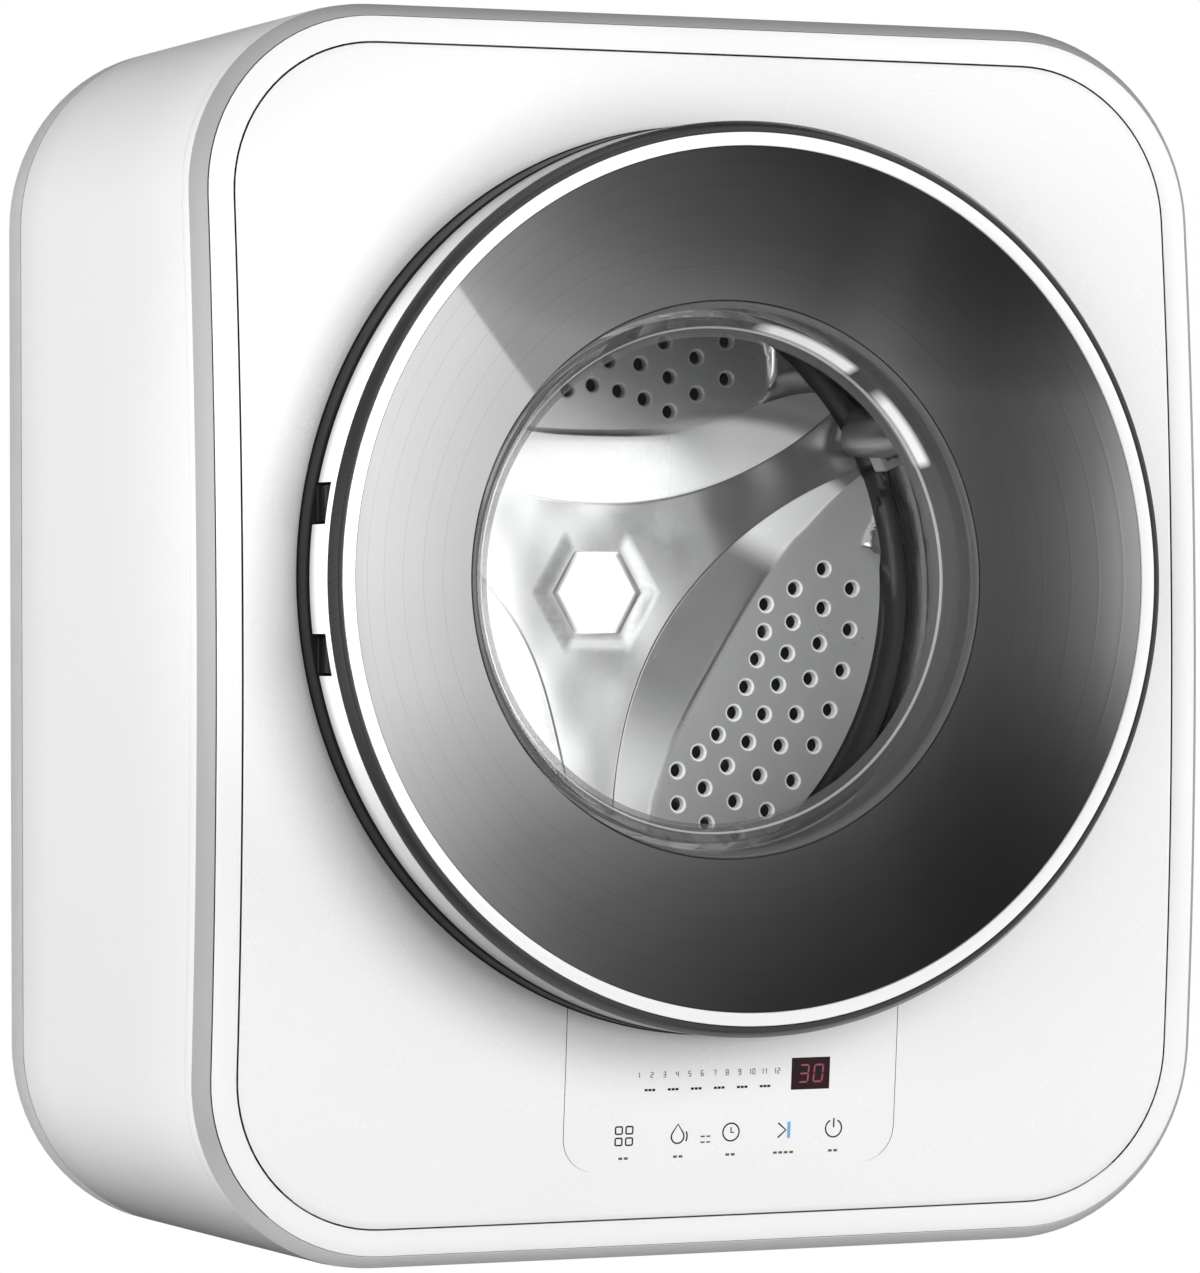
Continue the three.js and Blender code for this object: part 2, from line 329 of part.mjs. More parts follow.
put(cabinet, "detergent_lid", join(box(LID.x0, LID.x1, LID.y0, LID.y1 - 1, 297.3, 299.8), rodX(1.25, LID.x0 + 0.3, LID.x1 - 0.3, 12, LID.y1 - 1, 298.55)), "paint");
{
  const [x, y] = PORTS.cord;
  put(cabinet, "cable_gland", cut(join(rodZ(10, -313, -284, 12, x, y), rodZ(14, -303.5, -300.4, 6, x, y), rodZ(13.5, -297.2, -293.5, 6, x, y)), rodZ(4, -320, -280, 10, x, y)), "black");
}

export default root;
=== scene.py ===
# Wall mounted washing machine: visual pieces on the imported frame.
# All geometry below is written in millimetres (X right, Z up, "depth" back from the apex of the
# domed front) and turned into metres in the frame's coordinates by place().
import math

import bmesh
import bpy
import numpy as np
from mathutils import Matrix, Vector
from mathutils.geometry import delaunay_2d_cdt


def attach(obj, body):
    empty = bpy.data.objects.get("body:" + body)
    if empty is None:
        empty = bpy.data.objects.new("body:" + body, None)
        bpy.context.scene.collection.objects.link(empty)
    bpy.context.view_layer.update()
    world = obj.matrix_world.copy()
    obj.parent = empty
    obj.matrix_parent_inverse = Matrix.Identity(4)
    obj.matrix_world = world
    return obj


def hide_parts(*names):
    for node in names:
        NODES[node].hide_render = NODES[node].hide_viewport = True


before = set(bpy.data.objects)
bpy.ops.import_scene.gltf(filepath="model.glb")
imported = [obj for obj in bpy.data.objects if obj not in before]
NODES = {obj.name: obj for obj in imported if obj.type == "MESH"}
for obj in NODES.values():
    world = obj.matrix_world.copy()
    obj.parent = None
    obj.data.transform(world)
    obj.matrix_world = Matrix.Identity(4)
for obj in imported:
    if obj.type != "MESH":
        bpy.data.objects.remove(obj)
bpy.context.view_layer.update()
scene = bpy.context.scene

# ---- driving dimensions ---------------------------------------------------------------------------
HALF_W, HALF_H, CORNER = 265.0, 300.0, 94.0
BODY_D, APEX_Y = 293.0, -301.0
DOME_X, DOME_Z = 5e-5, 2.2e-4
TRIM_W, TRIM_D, BORDER_W = 6.65, 10.0, 12.7
DOOR_Z, DRUM_Z = 26.4, 21.6
DOOR_R, BASE_R = 218.0, 220.0
HINGE_X, HINGE_Y = -209.0, -23.0
DRUM_R, BACK_D = 168.0, 151.0


def dome(x, z):
    return DOME_X * x * x + DOME_Z * z * z


def place(x, d, z):
    return (x / 1000.0, (APEX_Y + d) / 1000.0, z / 1000.0)


# ---- node material helpers ------------------------------------------------------------------------
class Mat:
    """A small wrapper that builds node trees tersely."""

    def __init__(self, name):
        self.m = bpy.data.materials.new(name)
        self.m.use_nodes = True
        self.t = self.m.node_tree
        self.t.nodes.clear()
        self.out = self.t.nodes.new("ShaderNodeOutputMaterial")
        self.co = None

    def node(self, kind, **props):
        n = self.t.nodes.new(kind)
        for k, v in props.items():
            setattr(n, k, v)
        return n

    def put(self, node, **values):
        for k, v in values.items():
            sock = node.inputs[k.replace("_", " ")] if isinstance(k, str) and k.replace("_", " ") in node.inputs else node.inputs[k]
            if isinstance(v, bpy.types.NodeSocket):
                self.t.links.new(v, sock)
            else:
                sock.default_value = v
        return node

    def link(self, a, b):
        self.t.links.new(a, b)

    def coords(self):
        if self.co is None:
            self.co = self.node("ShaderNodeTexCoord").outputs["Object"]
        return self.co

    def math(self, op, a, b=None, clamp=False):
        n = self.node("ShaderNodeMath", operation=op, use_clamp=clamp)
        for i, v in enumerate((a, b)):
            if v is None:
                continue
            if isinstance(v, bpy.types.NodeSocket):
                self.link(v, n.inputs[i])
            else:
                n.inputs[i].default_value = v
        return n.outputs[0]

    def noise(self, scale, detail=3.0, rough=0.55, stretch=None, vector=None):
        n = self.node("ShaderNodeTexNoise")
        n.inputs["Scale"].default_value = scale
        n.inputs["Detail"].default_value = detail
        n.inputs["Roughness"].default_value = rough
        src = vector or self.coords()
        if stretch:
            mp = self.node("ShaderNodeMapping")
            mp.inputs["Scale"].default_value = stretch
            self.link(src, mp.inputs["Vector"])
            src = mp.outputs[0]
        self.link(src, n.inputs["Vector"])
        return n.outputs["Fac"]

    def ramp(self, fac, stops, interp="LINEAR"):
        r = self.node("ShaderNodeValToRGB")
        r.color_ramp.interpolation = interp
        e = r.color_ramp.elements
        while len(e) > 1:
            e.remove(e[-1])
        for i, (p, c) in enumerate(stops):
            el = e[0] if i == 0 else e.new(p)
            el.position = p
            el.color = (*c, 1) if isinstance(c, (tuple, list)) and len(c) == 3 else (c, c, c, 1)
        self.link(fac, r.inputs[0])
        return r.outputs[0]

    def span(self, fac, a, b, lo=0.0, hi=1.0):
        n = self.node("ShaderNodeMapRange")
        for i, v in enumerate((fac, a, b, lo, hi)):
            if isinstance(v, bpy.types.NodeSocket):
                self.link(v, n.inputs[i])
            else:
                n.inputs[i].default_value = v
        return n.outputs[0]

    def mixc(self, fac, a, b, blend="MIX"):
        n = self.node("ShaderNodeMix", data_type="RGBA", blend_type=blend)
        for i, v in ((0, fac), (6, a), (7, b)):
            if isinstance(v, bpy.types.NodeSocket):
                self.link(v, n.inputs[i])
            elif i == 0:
                n.inputs[0].default_value = v
            else:
                n.inputs[i].default_value = (*v, 1) if len(v) == 3 else v
        return n.outputs[2]

    def bump(self, height, strength, distance=0.0002, normal=None):
        n = self.node("ShaderNodeBump")
        n.inputs["Strength"].default_value = strength
        n.inputs["Distance"].default_value = distance
        self.link(height, n.inputs["Height"])
        if normal is not None:
            self.link(normal, n.inputs["Normal"])
        return n.outputs[0]

    def principled(self, color, rough, normal=None, metallic=0.0, **uniform):
        p = self.node("ShaderNodeBsdfPrincipled")
        for name, v in (("Base Color", color), ("Roughness", rough), ("Metallic", metallic)):
            if isinstance(v, bpy.types.NodeSocket):
                self.link(v, p.inputs[name])
            elif name == "Base Color":
                p.inputs[name].default_value = (*v, 1)
            else:
                p.inputs[name].default_value = v
        if normal is not None:
            self.link(normal, p.inputs["Normal"])
        for k, v in uniform.items():
            p.inputs[k.replace("_", " ")].default_value = v
        return p

    def done(self, shader):
        self.link(shader.outputs[0] if hasattr(shader, "outputs") else shader, self.out.inputs[0])
        return self.m


def moulded(name, color, rough, grain=900.0, grain_depth=0.25, tint=0.03, coat=0.0, wave=0.0, wear=0.0, specular=0.5, uneven=1.0, shade_halo=0.0, wall=0.0, low=None):
    """Moulded or lacquered plastic: faint colour drift, uneven gloss, fine skin, worn edges, and optional painted shade
    and painted light.
    """
    m = Mat(name)
    drift = m.noise(7.0, 2.0)
    fine = m.noise(grain, 3.0, 0.6)
    smudge = m.noise(38.0, 4.0, 0.65)
    lo = tuple(max(0.0, c * (1 - tint)) for c in color)
    hi = tuple(min(1.0, c * (1 + tint)) for c in color)
    col = m.mixc(m.span(drift, 0.3, 0.7), lo, hi)
    if shade_halo or wall or low:
        sep = m.node("ShaderNodeSeparateXYZ")
        m.link(m.coords(), sep.inputs[0])
        sx, sy, sz = sep.outputs[0], sep.outputs[1], m.math("SUBTRACT", sep.outputs[2], DOOR_Z / 1000.0)
    # low paints a tone in towards the bottom: painted shade where the tone is darker, painted light where it is lighter
    if low:
        k = m.span(sep.outputs[2], low[1], low[2], 0.0, 1.0)
        col = m.mixc(m.math("MULTIPLY", k, k) if low[3] else k, col, low[0])
    if shade_halo:
        # painted shade: the panel is painted darker in a soft ring close to the base ring, strongest on the left
        rr = m.math("SQRT", m.math("ADD", m.math("MULTIPLY", sx, sx), m.math("MULTIPLY", sz, sz)))
        k = m.span(rr, 0.2185, 0.262, 1.0, 0.0)
        k = m.math("MULTIPLY", m.math("MULTIPLY", k, k), m.span(sx, 0.02, -0.15, 0.3, 1.0))
        col = m.mixc(m.math("MULTIPLY", k, shade_halo, clamp=True), col, (0.12, 0.12, 0.12))
    if wall:
        # painted shade: the wall of the door is painted darker towards the base ring and towards its top and bottom
        k = m.span(m.math("ABSOLUTE", sz), 0.07, 0.19, 0.0, wall)
        col = m.mixc(k, col, (0.1, 0.1, 0.1))
        col = m.mixc(m.span(sy, -0.3225, -0.3135, 0.0, 0.7), col, (0.16, 0.16, 0.16))
    if wear:
        geo = m.node("ShaderNodeNewGeometry").outputs["Pointiness"]
        edge = m.span(geo, 0.52, 0.6)
        edge = m.math("MULTIPLY", edge, m.span(smudge, 0.35, 0.7))
        col = m.mixc(m.math("MULTIPLY", edge, wear, clamp=True), col, tuple(min(1.0, c * 1.6 + 0.05) for c in color))
    r = m.math("ADD", m.span(smudge, 0.3, 0.75, -0.05 * uneven, 0.06 * uneven), rough, clamp=True)
    r = m.math("ADD", r, m.span(fine, 0.3, 0.7, -0.02, 0.02), clamp=True)
    n = m.bump(fine, grain_depth, 0.00012)
    if wave:
        n = m.bump(m.noise(55.0, 1.0), wave, 0.0003, n)
    p = m.principled(col, r, n, 0.0, Specular_IOR_Level=specular, Coat_Weight=coat, Coat_Roughness=0.06)
    return m.done(p)


def metal(name, color, rough, grain=(1.0, 1.0, 1.0), scale=260.0, depth=0.2, blotch=0.05, spangle=False, axis_brush=False):
    """Bare or plated metal: brushed or cast grain, blotches of gloss, a few stains."""
    m = Mat(name)
    g = m.noise(scale, 4.0, 0.7, stretch=grain)
    b = m.noise(24.0, 4.0, 0.6)
    dark = tuple(c * (1 - 2 * blotch) for c in color)
    col = m.mixc(m.span(b, 0.3, 0.75), dark, color)
    if spangle:
        v = m.node("ShaderNodeTexVoronoi")
        v.inputs["Scale"].default_value = 160.0
        m.link(m.coords(), v.inputs["Vector"])
        col = m.mixc(0.16, col, v.outputs["Color"], "SOFT_LIGHT")
    r = m.math("ADD", m.span(g, 0.3, 0.7, -0.06, 0.08), rough, clamp=True)
    r = m.math("ADD", r, m.span(b, 0.3, 0.7, -0.03, 0.05), clamp=True)
    p = m.principled(col, r, m.bump(g, depth, 0.0001), 1.0)
    return m.done(p)


def rubber(name, color, rough=0.62):
    m = Mat(name)
    fine = m.noise(1300.0, 3.0, 0.7)
    dust = m.noise(30.0, 5.0, 0.7)
    col = m.mixc(m.span(dust, 0.45, 0.8, 0.0, 0.5), color, tuple(min(1, c * 1.5 + 0.03) for c in color))
    r = m.math("ADD", m.span(fine, 0.3, 0.7, -0.08, 0.08), rough, clamp=True)
    p = m.principled(col, r, m.bump(fine, 0.35, 0.0001), 0.0, Sheen_Weight=0.15, Sheen_Roughness=0.5)
    return m.done(p)


# ---- materials ------------------------------------------------------------------------------------
WHITE = moulded("white_shell", (0.86, 0.86, 0.855), 0.26, grain=700, grain_depth=0.05, tint=0.006, wave=0.02, coat=0.25, uneven=0.25)
# the panel carries painted shade round the base ring
WHITE_PANEL = moulded("white_panel", (0.86, 0.86, 0.855), 0.26, grain=700, grain_depth=0.05, tint=0.006, wave=0.02, coat=0.25, uneven=0.25, shade_halo=0.6)
# painted shade: the wrap is painted darker towards its bottom
WHITE_SIDE = moulded("white_wrap", (0.86, 0.86, 0.855), 0.34, grain=700, grain_depth=0.08, tint=0.006, wave=0.03, uneven=0.25, low=((0.14, 0.14, 0.14), -0.22, -0.3, True))
BORDER = moulded("white_border", (0.88, 0.88, 0.875), 0.24, grain=700, grain_depth=0.05, tint=0.005, coat=0.25, uneven=0.25)
# the door wall carries painted shade
RING_WALL = moulded("door_wall_white", (0.9, 0.9, 0.895), 0.3, grain=800, grain_depth=0.04, tint=0.005, coat=0.1, uneven=0.25, wall=0.8)
RING_WHITE = moulded("door_ring_white", (0.84, 0.84, 0.835), 0.2, grain=800, grain_depth=0.04, tint=0.005, coat=0.4, uneven=0.25)
# painted light: the grey trim is painted lighter towards its bottom
GREY = moulded("trim_grey", (0.38, 0.384, 0.384), 0.42, grain=1100, grain_depth=0.16, tint=0.012, low=((0.6, 0.603, 0.603), -0.235, -0.295, False))
COVER = moulded("cover_grey", (0.5, 0.505, 0.505), 0.5, grain=900, grain_depth=0.45, tint=0.015, wear=0.2)
BLACK = moulded("black_plastic", (0.01, 0.01, 0.011), 0.4, grain=1000, grain_depth=0.2, tint=0.2, wear=0.15, specular=0.2)
# near-black colour painted on the walls of seams as painted shadow
SEAM_SHADE = moulded("seam_shadow", (0.012, 0.012, 0.012), 0.7, grain=900, grain_depth=0.2, tint=0.1)
DARK = moulded("dark_ring_lacquer", (0.02, 0.02, 0.021), 0.3, grain=1200, grain_depth=0.1, tint=0.08, coat=0.2, specular=0.35)
PLASTIC = moulded("white_plastic", (0.74, 0.74, 0.73), 0.38, grain=800, grain_depth=0.15, tint=0.015, wear=0.1)
TUB = moulded("tub_plastic", (0.07, 0.073, 0.075), 0.55, grain=500, grain_depth=0.4, tint=0.04)
STEEL = metal("pressed_steel", (0.78, 0.785, 0.79), 0.2, grain=(1, 1, 1), scale=420, depth=0.05, blotch=0.02)


def pressed(name, color, rough, metallic, grain=420.0, depth=0.04, wave=0.0, painted_highlight=None):
    """Pressed stainless sheet: polished to satin, with slow waves left by the press."""
    m = Mat(name)
    g = m.noise(grain, 3.0, 0.65)
    b = m.noise(30.0, 3.0, 0.6)
    col = m.mixc(m.span(b, 0.3, 0.75), tuple(c * 0.96 for c in color), color)
    r = m.math("ADD", m.span(g, 0.3, 0.7, -0.02, 0.03), rough, clamp=True)
    r = m.math("ADD", r, m.span(b, 0.3, 0.7, -0.02, 0.03), clamp=True)
    n = m.bump(g, depth, 0.00006)
    if wave:
        n = m.bump(m.noise(14.0, 1.0, 0.4), wave, 0.004, n)
    if painted_highlight is not None:
        # painted highlight: where the mesh's mask says so, the sheet is painted near-white and made less metallic
        at = m.node("ShaderNodeAttribute", attribute_name="painted_highlight").outputs["Fac"]
        metallic = m.span(at, 0.0, 1.0, metallic, painted_highlight)
        col = m.mixc(at, col, (0.95, 0.95, 0.95))
    return m.done(m.principled(col, r, n, metallic))


STEEL_STAR = pressed("steel_polished", (0.88, 0.88, 0.88), 0.17, 0.92, wave=1.0)
# the sails carry a painted highlight where the mesh's mask says so
STEEL_SAIL = pressed("steel_satin", (0.86, 0.86, 0.86), 0.22, 0.9, depth=0.06, painted_highlight=0.2)
STEEL_LEAF = pressed("steel_blasted", (0.78, 0.78, 0.78), 0.3, 0.6, depth=0.1)
# painted highlight: the lips and walls of the holes are near-white and barely metallic, so they show as bright rings
STEEL_LIP = pressed("steel_lip", (0.98, 0.98, 0.98), 0.2, 0.1)
STEEL_LIFTER = pressed("steel_lifter", (0.3, 0.3, 0.3), 0.3, 0.9)
STEEL_HUB = pressed("steel_hub", (0.97, 0.97, 0.97), 0.12, 0.9, depth=0.02)
# near-black steel: the reverse side, and painted shade in the gutter round the plate
STEEL_REVERSE_AND_SHADE = pressed("steel_reverse_and_shade", (0.1, 0.1, 0.1), 0.4, 0.8, depth=0.1)
DRUM_STEEL = metal("drum_wall_steel", (0.34, 0.342, 0.345), 0.26, grain=(1, 60, 1), scale=40, depth=0.1, blotch=0.03)
BRIGHT = metal("bright_steel", (0.75, 0.75, 0.76), 0.16, grain=(1, 1, 30), scale=60, depth=0.08, blotch=0.03)
ZINC = metal("zinc_steel", (0.56, 0.57, 0.58), 0.36, scale=700, depth=0.12, blotch=0.08, spangle=True)
ALU = metal("cast_aluminium", (0.58, 0.59, 0.6), 0.42, scale=900, depth=0.5, blotch=0.06)
RUBBER_GREY = rubber("grey_rubber", (0.14, 0.145, 0.15))
RUBBER_BLACK = rubber("black_rubber", (0.018, 0.018, 0.018))
BOARD = moulded("board_green", (0.02, 0.13, 0.05), 0.35, grain=300, grain_depth=0.3, tint=0.15)
INK = moulded("grey_ink", (0.01, 0.01, 0.011), 0.6, grain=900, grain_depth=0.1, tint=0.05, specular=0.1)
INK_SOFT = moulded("pale_ink", (0.09, 0.09, 0.095), 0.6, grain=900, grain_depth=0.1, tint=0.05, specular=0.1)
INK_BLUE = moulded("blue_ink", (0.15, 0.4, 0.7), 0.4, grain=900, grain_depth=0.1, tint=0.05)


def cone_material(name, shade):
    """Smoked dark lacquer with a metallic depth, and faint turned rings."""
    m = Mat(name)
    sep = m.node("ShaderNodeSeparateXYZ")
    m.link(m.coords(), sep.inputs[0])
    x, z = sep.outputs["X"], m.math("SUBTRACT", sep.outputs["Z"], DOOR_Z / 1000.0)
    rr = m.math("SQRT", m.math("ADD", m.math("MULTIPLY", x, x), m.math("MULTIPLY", z, z)))
    turned = m.node("ShaderNodeTexNoise", noise_dimensions="1D")
    turned.inputs["Scale"].default_value = 900.0
    turned.inputs["Detail"].default_value = 2.0
    m.link(rr, turned.inputs["W"])
    cloud = m.noise(9.0, 2.0)
    col = m.mixc(m.span(cloud, 0.3, 0.7), tuple(c * shade for c in (0.35, 0.353, 0.353)), tuple(c * shade for c in (0.37, 0.372, 0.372)))
    r = m.math("ADD", m.span(turned.outputs["Fac"], 0.3, 0.7, -0.008, 0.008), 0.035, clamp=True)
    r = m.math("ADD", r, m.span(m.noise(60.0, 4.0), 0.4, 0.8, 0.0, 0.02), clamp=True)
    p = m.principled(col, r, m.bump(turned.outputs["Fac"], 0.01, 0.00002), 0.97, Coat_Weight=0.15, Coat_Roughness=0.04)
    return m.done(p)


# the groove copy is darker: painted shade in the turned grooves
DISH, DISH_GROOVE = cone_material("smoked_dish", 1.0), cone_material("smoked_groove", 0.86)


def glass_material(name, ior, frost, body, painted_streaks=()):
    """Clear tempered glass: transparent, with a Fresnel reflection, a trace of smudge, and some milkiness where it is thick."""
    m = Mat(name)
    fres = m.node("ShaderNodeFresnel")
    fres.inputs["IOR"].default_value = ior
    smudge = m.noise(26.0, 5.0, 0.6)
    gl = m.node("ShaderNodeBsdfGlossy")
    m.link(m.span(smudge, 0.4, 0.8, 0.015, 0.05), gl.inputs["Roughness"])
    gl.inputs["Color"].default_value = (1, 1, 1, 1)
    tr = m.node("ShaderNodeBsdfTransparent")
    m.link(m.mixc(m.span(smudge, 0.3, 0.7), (0.975, 0.98, 0.978), (0.985, 0.99, 0.988)), tr.inputs["Color"])
    under = tr.outputs[0]
    if frost:
        df = m.node("ShaderNodeBsdfDiffuse")
        col = m.mixc(m.span(smudge, 0.3, 0.7), tuple(c * 0.92 for c in body), body)
        amount = m.span(m.noise(9.0, 2.0), 0.3, 0.7, frost * 0.9, frost)
        # painted highlights: white streaks painted into the milky layer at the given angles and radii
        if painted_streaks:
            sep = m.node("ShaderNodeSeparateXYZ")
            m.link(m.coords(), sep.inputs[0])
            x, z = sep.outputs["X"], m.math("SUBTRACT", sep.outputs["Z"], DOOR_Z / 1000.0)
            ang = m.math("MULTIPLY", m.math("ARCTAN2", z, x), 180 / math.pi)
            rad = m.math("MULTIPLY", m.math("SQRT", m.math("ADD", m.math("MULTIPLY", x, x), m.math("MULTIPLY", z, z))), 1000.0)
            total = None
            for a0, a1, r0, r1 in painted_streaks:
                one = m.math("MULTIPLY", m.span(ang, a0 - 1.0, a0 + 1.0), m.span(ang, a1 + 2.5, a1 - 2.5))
                one = m.math("MULTIPLY", one, m.math("MULTIPLY", m.span(rad, r0 - 0.5, r0 + 0.4), m.span(rad, r1 + 0.9, r1 - 0.5)))
                total = one if total is None else m.math("ADD", total, one, clamp=True)
            col = m.mixc(total, col, (0.98, 0.98, 0.98))
            amount = m.math("ADD", amount, total, clamp=True)
        m.link(col, df.inputs["Color"])
        mx = m.node("ShaderNodeMixShader")
        m.link(amount, mx.inputs[0])
        m.link(under, mx.inputs[1])
        m.link(df.outputs[0], mx.inputs[2])
        under = mx.outputs[0]
    mix = m.node("ShaderNodeMixShader")
    m.link(fres.outputs[0], mix.inputs[0])
    m.link(under, mix.inputs[1])
    m.link(gl.outputs[0], mix.inputs[2])
    return m.done(mix)


# angles and radii of the two painted highlights, bright streaks painted on the bowl's wall
PAINTED_STREAKS = ((55.0, 79.0, 122.8, 125.6), (27.0, 46.0, 122.8, 125.2))
GLASS = glass_material("clear_glass", 1.16, 0.0, (1, 1, 1))
GLASS_WALL = glass_material("glass_wall", 1.3, 0.62, (0.11, 0.11, 0.11), PAINTED_STREAKS)
GLASS_EDGE = glass_material("glass_edge", 1.5, 0.35, (0.95, 0.95, 0.95))


def display_material():
    m = Mat("display_red")
    cloud = m.noise(120.0, 2.0)
    col = m.mixc(m.span(cloud, 0.3, 0.7), (0.016, 0.003, 0.006), (0.024, 0.004, 0.009))
    r = m.span(m.noise(300.0, 3.0), 0.3, 0.7, 0.3, 0.4)
    return m.done(m.principled(col, r, None, 0.0, Specular_IOR_Level=0.15))


def digit_material():
    m = Mat("display_digit")
    cloud = m.noise(900.0, 2.0)
    col = m.mixc(m.span(cloud, 0.3, 0.7), (0.2, 0.035, 0.06), (0.26, 0.05, 0.08))
    p = m.principled(col, m.span(cloud, 0.2, 0.8, 0.3, 0.4), None, 0.0)
    m.link(col, p.inputs["Emission Color"])
    p.inputs["Emission Strength"].default_value = 0.2
    return m.done(p)


DISPLAY, DIGIT = display_material(), digit_material()


# ---- mesh helpers ---------------------------------------------------------------------------------
def add(name, verts, faces, mat, body, slot, replaces=(), sharp=30.0, fix=True):
    me = bpy.data.meshes.new(name)
    me.from_pydata([place(*v) for v in verts], [], faces)
    if fix:
        bm = bmesh.new()
        bm.from_mesh(me)
        bmesh.ops.recalc_face_normals(bm, faces=bm.faces)
        bm.to_mesh(me)
        bm.free()
    me.polygons.foreach_set("use_smooth", [True] * len(me.polygons))
    me.set_sharp_from_angle(angle=math.radians(sharp))
    me.materials.append(mat)
    ob = bpy.data.objects.new(name, me)
    scene.collection.objects.link(ob)
    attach(ob, body)
    if replaces:
        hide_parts(*replaces)
    return ob


def fillet(points, seg=4, closed=True):
    """Rounds the corners of a polyline of (a, b, radius)."""
    out, n = [], len(points)
    for i, p in enumerate(points):
        r = p[2] if len(p) > 2 else 0.0
        if r <= 0 or (not closed and i in (0, n - 1)):
            out.append((p[0], p[1]))
            continue
        a, b = Vector(points[i - 1][:2]), Vector(points[(i + 1) % n][:2])
        c = Vector(p[:2])
        u, v = (a - c), (b - c)
        lu, lv = u.length, v.length
        u.normalize(), v.normalize()
        ang = math.acos(max(-1, min(1, u.dot(v))))
        if ang > math.pi - 1e-3:
            out.append((c.x, c.y))
            continue
        t = min(r / math.tan(ang / 2), lu * 0.49, lv * 0.49)
        r = t * math.tan(ang / 2)
        mid = (u + v).normalized()
        o = c + mid * (r / math.sin(ang / 2))
        s, e = c + u * t - o, c + v * t - o
        a0, a1 = math.atan2(s.y, s.x), math.atan2(e.y, e.x)
        d = (a1 - a0 + math.pi) % (2 * math.pi) - math.pi
        for k in range(seg + 1):
            q = a0 + d * k / seg
            out.append((o.x + r * math.cos(q), o.y + r * math.sin(q)))
    return out


def outline(o, arc=20, nx=16, nz=20):
    """Rounded rectangle grown by o."""
    a, b, r = HALF_W + o, HALF_H + o, CORNER + o
    pts = []
    cs = [(a - r, b - r, 0), (r - a, b - r, 90), (r - a, r - b, 180), (a - r, r - b, 270)]
    for k, (cx, cz, t0) in enumerate(cs):
        for i in range(arc + 1):
            t = math.radians(t0 + 90.0 * i / arc)
            pts.append((cx + r * math.cos(t), cz + r * math.sin(t)))
        ncx, ncz, _ = cs[(k + 1) % 4]
        t = math.radians(t0 + 90)
        m = nx if k % 2 == 0 else nz
        for i in range(1, m):
            f = i / m
            pts.append((cx + (ncx - cx) * f + r * math.cos(t), cz + (ncz - cz) * f + r * math.sin(t)))
    return pts


def follow(d):
    """How much a point at this depth follows the crown of the front."""
    return max(0.0, min(1.0, (262.0 - d) / 252.0))


def loft(loops, closed_section=True):
    n, m = len(loops[0]), len(loops)
    verts = [p for l in loops for p in l]
    faces = []
    for j in range(m if closed_section else m - 1):
        k = (j + 1) % m
        for i in range(n):
            i2 = (i + 1) % n
            faces.append((j * n + i, j * n + i2, k * n + i2, k * n + i))
    return verts, faces


def dark_walls(ob, below):
    """Painted shadow: faces in the walls of a seam that stand square to the front are painted with the near-black seam
    shadow.
    """
    me = ob.data
    me.materials.append(SEAM_SHADE)
    k = len(me.materials) - 1
    for p in me.polygons:
        c = p.center * 1000.0
        if c.z < -253.0 and abs(p.normal.z) > 0.75:
            continue
        if abs(p.normal.y) < 0.6 and c.y - APEX_Y - dome(c.x, c.z) > below:
            p.material_index = k
    return ob


def rim(name, section, mat, body, slot, replaces=(), flat=False, seg=4, **kw):
    """A band that runs round the cabinet; section corners are (offset, depth, radius)."""
    loops = []
    for o, d in fillet(section, seg):
        loops.append([(x, d + (0 if flat else dome(x, z) * follow(d)), z) for x, z in outline(o)])
    v, f = loft(loops)
    return add(name, v, f, mat, body, slot, replaces, **kw)


def turned(name, profile, mat, body, slot, cx=0.0, cz=0.0, n=256, replaces=(), seg=4, closed=True, **kw):
    """Solid of revolution about an axis along Y; profile corners are (radius, depth, fillet)."""
    pts = fillet(profile, seg, closed)
    verts, faces, rows = [], [], []
    for r, d in pts:
        if r < 1e-6:
            rows.append([len(verts)])
            verts.append((cx, d, cz))
        else:
            rows.append(list(range(len(verts), len(verts) + n)))
            verts += [(cx + r * math.sin(2 * math.pi * i / n), d, cz + r * math.cos(2 * math.pi * i / n)) for i in range(n)]
    m = len(rows)
    for j in range(m if closed else m - 1):
        a, b = rows[j], rows[(j + 1) % m]
        for i in range(n):
            i2 = (i + 1) % n
            if len(a) == 1 and len(b) == 1:
                break
            if len(a) == 1:
                faces.append((a[0], b[i], b[i2]))
            elif len(b) == 1:
                faces.append((a[i], b[0], a[i2]))
            else:
                faces.append((a[i], b[i], b[i2], a[i2]))
    return add(name, verts, faces, mat, body, slot, replaces, **kw)


def boxmesh(x0, x1, d0, d1, z0, z1):
    v = [(x, d, z) for x in (x0, x1) for d in (d0, d1) for z in (z0, z1)]
    f = [(0, 1, 3, 2), (4, 6, 7, 5), (0, 4, 5, 1), (2, 3, 7, 6), (0, 2, 6, 4), (1, 5, 7, 3)]
    return v, f


def temp(verts, faces):
    me = bpy.data.meshes.new("tmp")
    me.from_pydata([place(*v) for v in verts], [], faces)
    bm = bmesh.new()
    bm.from_mesh(me)
    bmesh.ops.recalc_face_normals(bm, faces=bm.faces)
    bm.to_mesh(me)
    bm.free()
    ob = bpy.data.objects.new("tmp", me)
    scene.collection.objects.link(ob)
    return ob


